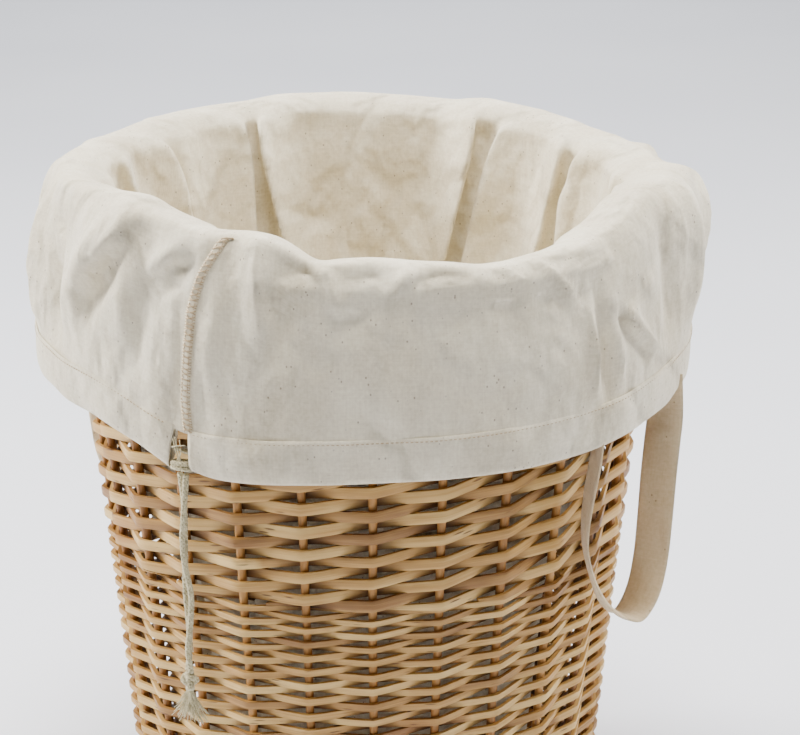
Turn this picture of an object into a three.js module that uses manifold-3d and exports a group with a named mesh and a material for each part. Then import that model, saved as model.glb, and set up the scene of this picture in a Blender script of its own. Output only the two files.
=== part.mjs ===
// A round willow laundry basket with a cotton liner bag whose top is turned down over the rim.
// Millimetres, +Z up. The origin is the middle of the underside, and the front faces -Y.
// A bearing is an angle round the basket: 0 at the front, growing towards +X.
import * as THREE from "three";
import { mergeVertices } from "three/addons/utils/BufferGeometryUtils.js";
import Module from "manifold-3d";

// ---------- driving dimensions ----------

// basket
const BASKET_HEIGHT = 505;
const BASE_RADIUS = 161; // of the circle of stakes, at the floor
const RIM_RADIUS = 204; // of the circle of stakes, at the top of the border
const STAKE_COUNT = 26;
const STAKE_DIAMETER = 6;
const FINE_WEAVE_THICKNESS = 13;
const COARSE_WEAVE_THICKNESS = 14;
const WALE_THICKNESS = 18;
const FOOT_HEIGHT = 8;
const FOOT_WIDTH = 30;
const LOWER_WALE_HEIGHT = 27;
const FINE_SIDING_HEIGHT = 232;
const UPPER_WALE_HEIGHT = 18;
const BORDER_HEIGHT = 16;
const BORDER_WIDTH = 26;
const BORDER_OVERHANG = 5; // of the border's middle outside the stakes
const STAKE_END_GAP = 2; // between a stake's ends and the foot and border

// base
const BASE_THICKNESS = 14;
const BASE_STICKS_EACH_WAY = 4;
const BASE_STICK_DIAMETER = 9;
const BASE_STICK_SPACING = 12;
const THREADED_STICK_WIDTH = 8;
const THREADED_STICK_THICKNESS = 4;

// liner bag
const CLOTH = 2.4;
const BAG_CLEARANCE = 3; // between the bag and the inside of the weave
const BAG_FLOOR_CLEARANCE = 2; // between the bag and the base
const CREST_RISE = 20; // of the cloth's crest over the border
const CUFF_CLEARANCE = 5; // between the border and the inside of the hem
const HEM_DROP = 130; // from the border's top down to the hem's lower edge
const HEM_HEIGHT = 28.4;
const HEM_THICKNESS = 6.6;
const SEAM_STRIP_WIDTH = 7;
const SEAM_STRIP_THICKNESS = 1.6;
const SEAM_FOOT_TURN = 1.5; // degrees from the drawstring to the seam strip's lower end
const SEAM_HEAD_TURN = 3.5; // and to its upper end

// drawstring
const CORD_DIAMETER = 4;
const CORD_BEARING = -32;
const TAIL_DROP = 140; // from the hem down to the knot
const HEM_GAP_WIDTH = 20;
const HITCH_WIDTH = 12;
const HITCH_HEIGHT = 9;
const HITCH_THICKNESS = 5;
const KNOT_DIAMETER = 12;
const KNOT_HEIGHT = 13;
const TASSEL_DIAMETER = 20;
const TASSEL_LENGTH = 26;

// tape loops
const TAPE_WIDTH = 25;
const TAPE_THICKNESS = 2.4;
const LOOP_BEARINGS = [54, -126];
const LOOP_SPAN = 87; // between the middles of the two legs
const LOOP_DROP = 138;
const LOOP_CLEARANCE = 1; // between the border and the tape as the bag is lifted past it
const LOOP_HANG = 2; // from the hem's foot down to the top of the loop

// fits
const GAP = 0.3; // between pieces that touch
const CORD_CLEARANCE = 0.5; // round the cord inside the hem

// facets
const ROUND_SIDES = 2 * STAKE_COUNT;
const STICK_SIDES = 8;
const STAKE_SIDES = 6;
const CORD_SIDES = 8;

// ---------- heights and radii that follow ----------

const SLOPE = (RIM_RADIUS - BASE_RADIUS) / BASKET_HEIGHT;
const stakeRadiusAt = (z) => BASE_RADIUS + SLOPE * z;
const LOWER_WALE_TOP = FOOT_HEIGHT + LOWER_WALE_HEIGHT;
const FINE_SIDING_TOP = LOWER_WALE_TOP + FINE_SIDING_HEIGHT;
const BORDER_FOOT = BASKET_HEIGHT - BORDER_HEIGHT;
const UPPER_WALE_FOOT = BORDER_FOOT - UPPER_WALE_HEIGHT;
const BASE_EDGE = stakeRadiusAt(FOOT_HEIGHT) - WALE_THICKNESS / 2 - GAP;
const BASE_TOP = FOOT_HEIGHT + BASE_THICKNESS;
const BASE_MIDDLE = FOOT_HEIGHT + BASE_THICKNESS / 2;
const THICKEST = Math.max(FINE_WEAVE_THICKNESS, COARSE_WEAVE_THICKNESS, WALE_THICKNESS);
const bagRadiusAt = (z) => stakeRadiusAt(z) - THICKEST / 2 - BAG_CLEARANCE;
const BAG_FLOOR = BASE_TOP + BAG_FLOOR_CLEARANCE;
const CREST = BASKET_HEIGHT + CREST_RISE;
const BORDER_RADIUS = stakeRadiusAt(BORDER_FOOT) + BORDER_OVERHANG;
const BORDER_OUTSIDE = BORDER_RADIUS + BORDER_WIDTH / 2;
const HEM_INSIDE = BORDER_OUTSIDE + CUFF_CLEARANCE;
const HEM_MIDDLE = HEM_INSIDE + HEM_THICKNESS / 2;
const HEM_FOOT = BASKET_HEIGHT - HEM_DROP;
const HEM_TOP = HEM_FOOT + HEM_HEIGHT;
const LOOP_PLANE = BORDER_OUTSIDE + LOOP_CLEARANCE + TAPE_THICKNESS / 2;
const CORD_RADIUS = CORD_DIAMETER / 2;
const EXIT_HEIGHT = HEM_FOOT - CORD_DIAMETER;
const KNOT_TOP = EXIT_HEIGHT - TAIL_DROP - GAP;

// ---------- small tools ----------

const wasm = await Module();
wasm.setup();

const radians = THREE.MathUtils.degToRad;

function atBearing(radius, bearing, z) {
  const angle = radians(bearing);
  return new THREE.Vector3(radius * Math.sin(angle), -radius * Math.cos(angle), z);
}

function bare(geometry) {
  const flat = geometry.index ? geometry : geometry.clone();
  flat.deleteAttribute("normal");
  flat.deleteAttribute("uv");
  return mergeVertices(flat, 1e-4);
}

function solidOf(geometry) {
  const merged = bare(geometry);
  return new wasm.Manifold(
    new wasm.Mesh({
      numProp: 3,
      vertProperties: new Float32Array(merged.attributes.position.array),
      triVerts: new Uint32Array(merged.index.array),
    }),
  );
}

function geometryOf(solid) {
  const mesh = solid.getMesh();
  const geometry = new THREE.BufferGeometry();
  geometry.setAttribute("position", new THREE.BufferAttribute(mesh.vertProperties, 3));
  geometry.setIndex(new THREE.BufferAttribute(mesh.triVerts, 1));
  geometry.computeVertexNormals();
  return geometry;
}

function cut(geometry, ...cutters) {
  return geometryOf(cutters.reduce((left, tool) => left.subtract(solidOf(tool)), solidOf(geometry)));
}

// A ring about +Z from a closed outline of [radius, height] pairs, counter-clockwise.
function turned(outline, sides = ROUND_SIDES) {
  const points = [...outline, outline[0]].map(([radius, z]) => new THREE.Vector2(radius, z));
  const geometry = new THREE.LatheGeometry(points, sides);
  return geometry.rotateX(Math.PI / 2);
}

// A disc or plug about +Z.
function disc(radius, low, high, sides = ROUND_SIDES) {
  const geometry = new THREE.CylinderGeometry(radius, radius, high - low, sides);
  return geometry.rotateX(Math.PI / 2).translate(0, 0, (low + high) / 2);
}

// A straight rod between two points.
function rod(start, end, radius, sides) {
  const along = new THREE.Vector3().subVectors(end, start);
  const geometry = new THREE.CylinderGeometry(radius, radius, along.length(), sides);
  const turn = new THREE.Quaternion().setFromUnitVectors(new THREE.Vector3(0, 1, 0), along.normalize());
  const middle = new THREE.Vector3().addVectors(start, end).multiplyScalar(0.5);
  return geometry.applyQuaternion(turn).translate(middle.x, middle.y, middle.z);
}

// The closed outline of a strip of even thickness along a line of [radius, height] pairs.
function stripOutline(line, thickness) {
  const sideOf = (side) =>
    line.map(([radius, z], i) => {
      const [r0, z0] = line[Math.max(i - 1, 0)];
      const [r1, z1] = line[Math.min(i + 1, line.length - 1)];
      const length = Math.hypot(r1 - r0, z1 - z0);
      const shift = (side * thickness) / 2 / length;
      return [radius + (z1 - z0) * shift, z - (r1 - r0) * shift];
    });
  return [...sideOf(1), ...sideOf(-1).reverse()];
}

function material(colour, roughness) {
  return new THREE.MeshStandardMaterial({ color: colour, roughness, metalness: 0 });
}

const WILLOW = 0xb98d57;
const WILLOW_STAKE = 0xa97640;
const COTTON = 0xd9d0bd;
const CORD_COTTON = 0xcfccbc;

const part = new THREE.Group();

function add(name, geometry, colour, roughness) {
  const mesh = new THREE.Mesh(geometry, material(colour, roughness));
  mesh.name = name;
  part.add(mesh);
  return mesh;
}

const addWillow = (name, geometry, colour = WILLOW) => add(name, geometry, colour, 0.55);
const addCloth = (name, geometry, colour = COTTON) => add(name, geometry, colour, 0.95);

// ---------- basket ----------

const STAKE_FOOT = FOOT_HEIGHT + STAKE_END_GAP;
const STAKE_TOP = BORDER_FOOT - STAKE_END_GAP;

function stakeRod(index, radius, low, high) {
  const bearing = (360 * index) / STAKE_COUNT;
  return rod(
    atBearing(stakeRadiusAt(low), bearing, low),
    atBearing(stakeRadiusAt(high), bearing, high),
    radius,
    STAKE_SIDES,
  );
}

function makeStakes() {
  for (let i = 0; i < STAKE_COUNT; i++) {
    const label = String(i + 1).padStart(2, "0");
    addWillow(`stake_${label}`, stakeRod(i, STAKE_DIAMETER / 2, STAKE_FOOT, STAKE_TOP), WILLOW_STAKE);
  }
}

// A band of weave round the stakes, with a hole for each one.
function weaveBand(low, high, thickness) {
  const half = thickness / 2;
  const band = turned([
    [stakeRadiusAt(low) - half, low],
    [stakeRadiusAt(low) + half, low],
    [stakeRadiusAt(high) + half, high],
    [stakeRadiusAt(high) - half, high],
  ]);
  const past = STAKE_DIAMETER;
  const holes = Array.from({ length: STAKE_COUNT }, (_, i) =>
    stakeRod(i, STAKE_DIAMETER / 2 + GAP, low - past, high + past),
  );
  return cut(band, ...holes);
}

function makeWeave() {
  const lowerWale = weaveBand(FOOT_HEIGHT, LOWER_WALE_TOP - GAP, WALE_THICKNESS);
  const fine = weaveBand(LOWER_WALE_TOP, FINE_SIDING_TOP - GAP, FINE_WEAVE_THICKNESS);
  const coarse = weaveBand(FINE_SIDING_TOP, UPPER_WALE_FOOT - GAP, COARSE_WEAVE_THICKNESS);
  const upperWale = weaveBand(UPPER_WALE_FOOT, BORDER_FOOT - GAP, WALE_THICKNESS);
  addWillow("lower_wale", lowerWale);
  addWillow("fine_siding", fine);
  addWillow("coarse_siding", coarse);
  addWillow("upper_wale", upperWale);
}

// The rolled border, a ring with a rounded section.
function makeBorder() {
  const corners = 10;
  const outline = Array.from({ length: corners }, (_, i) => {
    const angle = (2 * Math.PI * (i + 0.5)) / corners;
    const stretch = 1 / Math.cos(Math.PI / corners);
    return [
      BORDER_RADIUS + (BORDER_WIDTH / 2) * Math.cos(angle) * stretch,
      BASKET_HEIGHT - BORDER_HEIGHT / 2 + (BORDER_HEIGHT / 2) * Math.sin(angle),
    ];
  });
  addWillow("rolled_border", turned(outline));
}

function makeFoot() {
  const outside = stakeRadiusAt(0) + WALE_THICKNESS / 2;
  const inside = outside - FOOT_WIDTH;
  const foot = turned([
    [inside, 0],
    [outside, 0],
    [outside, FOOT_HEIGHT - GAP],
    [inside, FOOT_HEIGHT - GAP],
  ]);
  addWillow("foot_border", foot);
}

const stickOffset = (i) => (i - (BASE_STICKS_EACH_WAY - 1) / 2) * BASE_STICK_SPACING;
const stickHalfLength = (i) => Math.sqrt(BASE_EDGE ** 2 - stickOffset(i) ** 2) - BASE_STICK_DIAMETER;

// A round base stick along X, slit in the middle for the threaded sticks.
function piercedStick(i, clearance) {
  const half = stickHalfLength(i) + clearance;
  const y = stickOffset(i);
  return rod(
    new THREE.Vector3(-half, y, BASE_MIDDLE),
    new THREE.Vector3(half, y, BASE_MIDDLE),
    BASE_STICK_DIAMETER / 2 + clearance,
    STICK_SIDES,
  );
}

// A shaved base stick along Y.
function threadedStick(i, clearance) {
  const half = stickHalfLength(i) + clearance;
  const width = THREADED_STICK_WIDTH + 2 * clearance;
  const thickness = THREADED_STICK_THICKNESS + 2 * clearance;
  return new THREE.BoxGeometry(width, 2 * half, thickness).translate(stickOffset(i), 0, BASE_MIDDLE);
}

function makeBase() {
  const order = Array.from({ length: BASE_STICKS_EACH_WAY }, (_, i) => i);
  const reach = 2 * BASE_STICK_DIAMETER;
  const channels = order.flatMap((i) => [piercedStick(i, GAP), threadedStick(i, GAP)]);
  const wayOut = order.map((i) =>
    new THREE.BoxGeometry(reach, THREADED_STICK_THICKNESS, THREADED_STICK_THICKNESS).translate(
      BASE_EDGE,
      stickOffset(i),
      BASE_MIDDLE,
    ),
  );
  addWillow("base_weave", cut(disc(BASE_EDGE, FOOT_HEIGHT, BASE_TOP), ...channels, ...wayOut));
  for (const i of order) {
    const slits = order.map((k) => threadedStick(k, GAP));
    addWillow(`pierced_base_stick_${i + 1}`, cut(piercedStick(i, 0), ...slits), WILLOW_STAKE);
    addWillow(`threaded_base_stick_${i + 1}`, threadedStick(i, 0), WILLOW_STAKE);
  }
}

// ---------- liner bag ----------

const BAG_SHOULDER = BASKET_HEIGHT - BORDER_HEIGHT / 2;

function makeBag() {
  const wallLine = [
    [bagRadiusAt(BAG_FLOOR), BAG_FLOOR],
    [bagRadiusAt(FINE_SIDING_TOP), FINE_SIDING_TOP],
    [bagRadiusAt(BAG_SHOULDER), BAG_SHOULDER],
  ];
  addCloth("liner_wall", turned(stripOutline(wallLine, CLOTH)));
  const bottomRadius = bagRadiusAt(BAG_FLOOR) - CLOTH / 2 - GAP;
  addCloth("liner_bottom", disc(bottomRadius, BAG_FLOOR, BAG_FLOOR + CLOTH));
}

// The bag's top, turned outwards over the border and down to the hem.
function makeCuff() {
  const inside = bagRadiusAt(BAG_SHOULDER);
  const rollRadius = (HEM_MIDDLE - inside) / 2;
  const rollHeight = CREST - CLOTH / 2 - BAG_SHOULDER;
  const rollSteps = 8;
  const roll = Array.from({ length: rollSteps + 1 }, (_, i) => {
    const angle = Math.PI * (1 - i / rollSteps);
    return [
      inside + rollRadius * (1 + Math.cos(angle)),
      BAG_SHOULDER + 2 * GAP + (rollHeight - 2 * GAP) * Math.sin(angle),
    ];
  });
  addCloth("liner_cuff", turned(stripOutline([...roll, [HEM_MIDDLE, HEM_TOP + GAP]], CLOTH)));
}

// The block that opens the hem where the drawstring comes out.
function hemGap(width) {
  const block = new THREE.BoxGeometry(width, 4 * HEM_THICKNESS, 2 * HEM_HEIGHT);
  const middle = atBearing(HEM_MIDDLE, CORD_BEARING, (HEM_FOOT + HEM_TOP) / 2);
  return block.rotateZ(radians(CORD_BEARING)).translate(middle.x, middle.y, middle.z);
}

function square(radius, z, halfWidth, halfHeight) {
  return [
    [radius - halfWidth, z - halfHeight],
    [radius + halfWidth, z - halfHeight],
    [radius + halfWidth, z + halfHeight],
    [radius - halfWidth, z + halfHeight],
  ];
}

const CHANNEL_HEIGHT = HEM_FOOT + CLOTH + CORD_DIAMETER;

// The folded hem is a channel: the drawstring lies along its lower part.
function makeHem() {
  const middle = (HEM_FOOT + HEM_TOP) / 2;
  const outer = turned(square(HEM_MIDDLE, middle, HEM_THICKNESS / 2, HEM_HEIGHT / 2));
  const bore = CORD_RADIUS + CORD_CLEARANCE;
  const channel = turned(square(HEM_MIDDLE, CHANNEL_HEIGHT, bore, bore));
  addCloth("hem_channel", cut(outer, channel, hemGap(HEM_GAP_WIDTH)));
}

function makeSeamStrip() {
  const clear = SEAM_STRIP_THICKNESS / 2 + CLOTH / 2 + 2 * GAP;
  const low = atBearing(HEM_MIDDLE + clear, CORD_BEARING + SEAM_FOOT_TURN, HEM_TOP + CLOTH);
  const high = atBearing(HEM_MIDDLE + clear, CORD_BEARING + SEAM_HEAD_TURN, BAG_SHOULDER);
  const along = new THREE.Vector3().subVectors(high, low);
  const outwards = atBearing(1, CORD_BEARING + (SEAM_FOOT_TURN + SEAM_HEAD_TURN) / 2, 0);
  const sideways = new THREE.Vector3().crossVectors(outwards, along).normalize();
  const facing = new THREE.Vector3().crossVectors(sideways, along.clone().normalize());
  const turn = new THREE.Matrix4().makeBasis(sideways, along.clone().normalize(), facing);
  const middle = new THREE.Vector3().addVectors(low, high).multiplyScalar(0.5);
  const strip = new THREE.BoxGeometry(SEAM_STRIP_WIDTH, along.length(), SEAM_STRIP_THICKNESS);
  addCloth("seam_strip", strip.applyMatrix4(turn.setPosition(middle)));
}

// ---------- drawstring ----------

function makeCordInHem() {
  const outline = Array.from({ length: CORD_SIDES }, (_, i) => {
    const angle = (2 * Math.PI * (i + 0.5)) / CORD_SIDES;
    return [HEM_MIDDLE + CORD_RADIUS * Math.cos(angle), CHANNEL_HEIGHT + CORD_RADIUS * Math.sin(angle)];
  });
  addCloth("drawstring_in_hem", cut(turned(outline), hemGap(HEM_GAP_WIDTH)), CORD_COTTON);
}

// The band of cord that gathers the two ends at the opening.
function makeHitch() {
  const middle = atBearing(HEM_MIDDLE, CORD_BEARING, HEM_FOOT + HITCH_HEIGHT / 2);
  const hitch = new THREE.BoxGeometry(HITCH_WIDTH, HITCH_THICKNESS, HITCH_HEIGHT);
  addCloth(
    "drawstring_hitch",
    hitch.rotateZ(radians(CORD_BEARING)).translate(middle.x, middle.y, middle.z),
    CORD_COTTON,
  );
}

// One tail from the hem down to the knot, as [sway, drop] pairs: how far it leans towards +X and how far it has
// come down, as a share of the whole drop. Side is -1 for the left one and 1 for the right.
const TAIL_SWAY = [
  [0, 0],
  [0, 0.16],
  [-1.2, 0.32],
  [-0.8, 0.46],
  [1, 0.6],
  [1.2, 0.74],
  [0, 0.88],
  [0, 1],
];
const TAIL_STEPS = 16;

function tailRoute(side) {
  const apart = CORD_RADIUS + GAP;
  const hang = atBearing(HEM_MIDDLE, CORD_BEARING, EXIT_HEIGHT);
  return TAIL_SWAY.map(([sway, drop]) => {
    const across = atBearing(1, CORD_BEARING + 90, 0).multiplyScalar(sway + side * apart);
    return new THREE.Vector3(0, 0, -drop * TAIL_DROP).add(hang).add(across);
  });
}

function tail(side) {
  const section = new THREE.Shape();
  for (let i = 0; i < CORD_SIDES; i++) {
    const angle = (2 * Math.PI * i) / CORD_SIDES;
    const point = [CORD_RADIUS * Math.cos(angle), CORD_RADIUS * Math.sin(angle)];
    if (i === 0) section.moveTo(...point);
    else section.lineTo(...point);
  }
  section.closePath();
  return new THREE.ExtrudeGeometry(section, {
    steps: TAIL_STEPS,
    bevelEnabled: false,
    extrudePath: new THREE.CatmullRomCurve3(tailRoute(side)),
  });
}

function makeTails() {
  addCloth("drawstring_tail_left", tail(-1), CORD_COTTON);
  addCloth("drawstring_tail_right", tail(1), CORD_COTTON);
  const axis = atBearing(HEM_MIDDLE, CORD_BEARING, 0);
  const knot = new THREE.SphereGeometry(KNOT_DIAMETER / 2, 10, 6).rotateX(Math.PI / 2);
  knot.scale(1, 1, KNOT_HEIGHT / KNOT_DIAMETER);
  addCloth("drawstring_knot", knot.translate(axis.x, axis.y, KNOT_TOP - KNOT_HEIGHT / 2), CORD_COTTON);
  const tasselTop = KNOT_TOP - KNOT_HEIGHT - GAP;
  const tassel = new THREE.CylinderGeometry(CORD_RADIUS, TASSEL_DIAMETER / 2, TASSEL_LENGTH, 10);
  tassel.rotateX(Math.PI / 2);
  addCloth("drawstring_tassel", tassel.translate(axis.x, axis.y, tasselTop - TASSEL_LENGTH / 2), CORD_COTTON);
}

// ---------- tape loops ----------

// A loop of tape that hangs from the hem, with its two legs and its rounded bottom in one plane.
function tapeLoop(bearing) {
  const half = (LOOP_SPAN + TAPE_WIDTH) / 2;
  const inner = half - TAPE_WIDTH;
  const outline = new THREE.Shape();
  outline.moveTo(-half, 0);
  outline.lineTo(-half, half - LOOP_DROP);
  outline.absarc(0, half - LOOP_DROP, half, Math.PI, 2 * Math.PI);
  outline.lineTo(half, 0);
  outline.lineTo(inner, 0);
  outline.lineTo(inner, half - LOOP_DROP);
  outline.absarc(0, half - LOOP_DROP, inner, 0, -Math.PI, true);
  outline.lineTo(-inner, 0);
  outline.closePath();
  const loop = new THREE.ExtrudeGeometry(outline, {
    depth: TAPE_THICKNESS,
    curveSegments: 12,
    bevelEnabled: false,
  });
  const place = atBearing(LOOP_PLANE - TAPE_THICKNESS / 2, bearing, HEM_FOOT - LOOP_HANG);
  loop.rotateX(Math.PI / 2).rotateZ(radians(bearing));
  return loop.translate(place.x, place.y, place.z);
}

function makeLoops() {
  const names = ["tape_loop_right", "tape_loop_left"];
  LOOP_BEARINGS.forEach((bearing, i) => addCloth(names[i], tapeLoop(bearing)));
}

makeFoot();
makeBase();
makeStakes();
makeWeave();
makeBorder();
makeBag();
makeCuff();
makeHem();
makeSeamStrip();
makeCordInHem();
makeHitch();
makeTails();
makeLoops();

export default part;
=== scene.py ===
"""A lined willow laundry basket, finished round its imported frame. Metres, +Z up.

Bearings are degrees round the basket from its front (-Y), growing towards +X.
"""

import math

import bpy
import numpy as np
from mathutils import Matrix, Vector


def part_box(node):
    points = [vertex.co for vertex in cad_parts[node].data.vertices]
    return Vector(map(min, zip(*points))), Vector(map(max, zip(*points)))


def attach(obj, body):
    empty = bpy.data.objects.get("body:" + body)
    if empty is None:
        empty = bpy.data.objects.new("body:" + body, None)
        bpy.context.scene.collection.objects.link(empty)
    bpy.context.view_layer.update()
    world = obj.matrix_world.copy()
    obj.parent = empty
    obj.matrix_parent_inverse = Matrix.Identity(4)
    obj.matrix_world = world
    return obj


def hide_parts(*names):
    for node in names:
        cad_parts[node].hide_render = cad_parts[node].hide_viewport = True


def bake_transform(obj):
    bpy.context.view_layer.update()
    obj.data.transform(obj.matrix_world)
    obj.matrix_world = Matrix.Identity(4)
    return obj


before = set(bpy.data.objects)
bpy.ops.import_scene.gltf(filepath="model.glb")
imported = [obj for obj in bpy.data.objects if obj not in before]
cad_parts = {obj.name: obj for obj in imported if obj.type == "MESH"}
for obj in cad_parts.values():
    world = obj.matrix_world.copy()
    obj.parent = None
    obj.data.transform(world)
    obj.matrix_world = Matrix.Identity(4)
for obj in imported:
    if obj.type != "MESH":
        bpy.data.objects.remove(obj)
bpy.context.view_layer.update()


# ---------- sizes ----------

def box_of(node):
    low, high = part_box(node)
    return np.array(low), np.array(high)


STAKES = 26
GAP_TURN = 2 * math.pi / STAKES
STAKE_SLOPE = 0.0851485  # of the circle of stakes, outwards as it rises
STAKE_FOOT_RADIUS = 0.161
STAKE_DIAMETER = 0.006
ROWS_LEAN = 16  # rods that climb side by side round the basket
SAMPLES_PER_GAP = 8
THINNEST_END = 0.12  # share of a row that a rod still has where it starts and stops
COARSE_ROWS = 24.5

FINE_LOW, FINE_HIGH = (b[2] for b in box_of("fine_siding"))
COARSE_LOW, COARSE_HIGH = (b[2] for b in box_of("coarse_siding"))
BORDER_HALF_WIDTH = 0.013
BORDER_HIGH = box_of("rolled_border")[1][2]
BORDER_MIDDLE = box_of("rolled_border")[1][0] - BORDER_HALF_WIDTH
FOOT_HALF_WIDTH = 0.015
BASE_SPOKES = 16
BASE_RINGS = 22
BASE_INSIDE = 0.036
BASE_LIFT = 0.015  # of the middle of the base sticks

HEM_HEIGHT = 0.0285
CORD_BEARING = -32.0
CORD_DIAMETER = 0.004
CORD_RADIUS_OUT = 0.22894
CORD_EXIT_HEIGHT = 0.371
BRAID_PITCH = 0.0125
TAIL_DROP = 0.140
LOOP_BEARINGS = {"right": 54.0, "left": -126.0}
TAPE_WIDTH = 0.025
TAPE_RADIUS = 0.222  # where it leaves the hem
TAPE_BEND_HIGH, TAPE_BEND_LOW = 0.381, 0.362

CLOTH_THICKNESS = 0.0009
CUFF_RADIUS = 0.226
BAG_RADIUS = 0.19
BAG_GAP = 0.0245  # between the stakes' circle and the bag
LEAST_BAG_GAP = 0.0105
SHOULDER_DROP = 0.034  # from the crest down to the cuff's widest place
UPPER_CLOTH_WIDTH, LOWER_CLOTH_WIDTH = 1.44, 1.2  # the cloth laid flat


def stake_radius(z):
    return STAKE_FOOT_RADIUS + STAKE_SLOPE * z


def at(radius, bearing, z):
    """The point, or array of points, at a radius, bearing and height."""
    angle = np.radians(bearing)
    x, y = radius * np.sin(angle), -radius * np.cos(angle)
    return np.stack(np.broadcast_arrays(x, y, z), axis=-1)


# ---------- node trees ----------

class Wire:
    """One output of a node. Sums on wires add the nodes that work them out."""

    def __init__(self, bench, socket):
        self.bench, self.socket = bench, socket

    def other(self, name):
        return Wire(self.bench, self.socket.node.outputs[name])

    def maths(self, operation, *values):
        return self.bench.add("ShaderNodeMath", {"operation": operation}, dict(enumerate(values)))

    def __add__(self, value):
        return self.maths("ADD", self, value)

    def __sub__(self, value):
        return self.maths("SUBTRACT", self, value)

    def __rsub__(self, value):
        return self.maths("SUBTRACT", value, self)

    def __mul__(self, value):
        return self.maths("MULTIPLY", self, value)

    def __truediv__(self, value):
        return self.maths("DIVIDE", self, value)

    def __rtruediv__(self, value):
        return self.maths("DIVIDE", value, self)

    def __mod__(self, value):
        return self.maths("FLOORED_MODULO", self, value)

    __radd__ = __add__
    __rmul__ = __mul__

    def __gt__(self, value):
        return self.maths("GREATER_THAN", self, value)

    def sine(self):
        return self.maths("SINE", self)

    def cosine(self):
        return self.maths("COSINE", self)

    def floor(self):
        return self.maths("FLOOR", self)

    def size(self):
        return self.maths("ABSOLUTE", self)

    def at_least(self, value):
        return self.maths("MAXIMUM", self, value)

    def at_most(self, value):
        return self.maths("MINIMUM", self, value)

    def between(self, low, high):
        return self.at_least(low).at_most(high)

    def ramped(self, low, high):
        """0 at low, 1 at high, and smooth between them."""
        return self.bench.add(
            "ShaderNodeMapRange",
            {"interpolation_type": "SMOOTHSTEP"},
            {0: self, 1: low, 2: high},
        )

    def parts(self):
        split = self.bench.add("ShaderNodeSeparateXYZ", {}, {0: self})
        return split, split.other("Y"), split.other("Z")


class Bench:
    """A node tree that is being filled."""

    def __init__(self, tree):
        self.tree = tree

    def add(self, kind, settings=None, inputs=None, output=0):
        node = self.tree.nodes.new(kind)
        for name, value in (settings or {}).items():
            if name == "stops":
                self.set_stops(node.color_ramp, value)
            else:
                setattr(node, name, value)
        for key, value in (inputs or {}).items():
            if isinstance(value, Wire):
                self.tree.links.new(value.socket, node.inputs[key])
            else:
                node.inputs[key].default_value = value
        return Wire(self, node.outputs[output])

    @staticmethod
    def set_stops(ramp, stops):
        while len(ramp.elements) < len(stops):
            ramp.elements.new(1.0)
        for element, (place, colour) in zip(ramp.elements, stops):
            element.position = place
            element.color = (*colour, 1.0)

    def vector(self, x, y, z):
        return self.add("ShaderNodeCombineXYZ", {}, {0: x, 1: y, 2: z})

    def stored(self, name, output="Fac"):
        return self.add("ShaderNodeAttribute", {"attribute_name": name}, output=output)

    def own_place(self):
        """The place on the piece, in its own coordinates."""
        return self.add("ShaderNodeTexCoord", {}, output="Object")

    def ramp(self, value, *stops):
        return self.add("ShaderNodeValToRGB", {"stops": stops}, {0: value})

    def noise(self, place, scale, detail=2.0, roughness=0.5):
        inputs = {"Vector": place, "Scale": scale, "Detail": detail, "Roughness": roughness}
        return self.add("ShaderNodeTexNoise", {}, inputs)

    def cells(self, place, **settings):
        return self.add("ShaderNodeTexVoronoi", settings, {"Vector": place, "Scale": 1.0})

    def blend_colours(self, share, first, second, how="MIX"):
        settings = {"data_type": "RGBA", "blend_type": how}
        return self.add("ShaderNodeMix", settings, {0: share, 6: first, 7: second}, output=2)

    def bump(self, height, distance, strength=1.0, normal=None):
        inputs = {"Height": height, "Distance": distance, "Strength": strength}
        if normal:
            inputs["Normal"] = normal
        return self.add("ShaderNodeBump", {}, inputs)


def stretched(bench, place, x, y, z):
    """A place with each of its axes scaled."""
    return bench.add("ShaderNodeVectorMath", {"operation": "MULTIPLY"}, {0: place, 1: (x, y, z)})


# ---------- finishes ----------

def finish_named(name, paint):
    """A material whose changing sockets come from paint, and whose fixed ones are numbers."""
    material = bpy.data.materials.new(name)
    material.use_nodes = True
    nodes = material.node_tree.nodes
    shader = nodes["Principled BSDF"]
    bench = Bench(material.node_tree)
    for socket, value in paint(bench).items():
        if isinstance(value, Wire):
            material.node_tree.links.new(value.socket, shader.inputs[socket])
        else:
            shader.inputs[socket].default_value = value
    return material


def colour(red, green, blue):
    """A screen colour, 0 to 255, as linear light."""
    def linear(value):
        value /= 255
        return value / 12.92 if value <= 0.04045 else ((value + 0.055) / 1.055) ** 2.4
    return (linear(red), linear(green), linear(blue))


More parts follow.
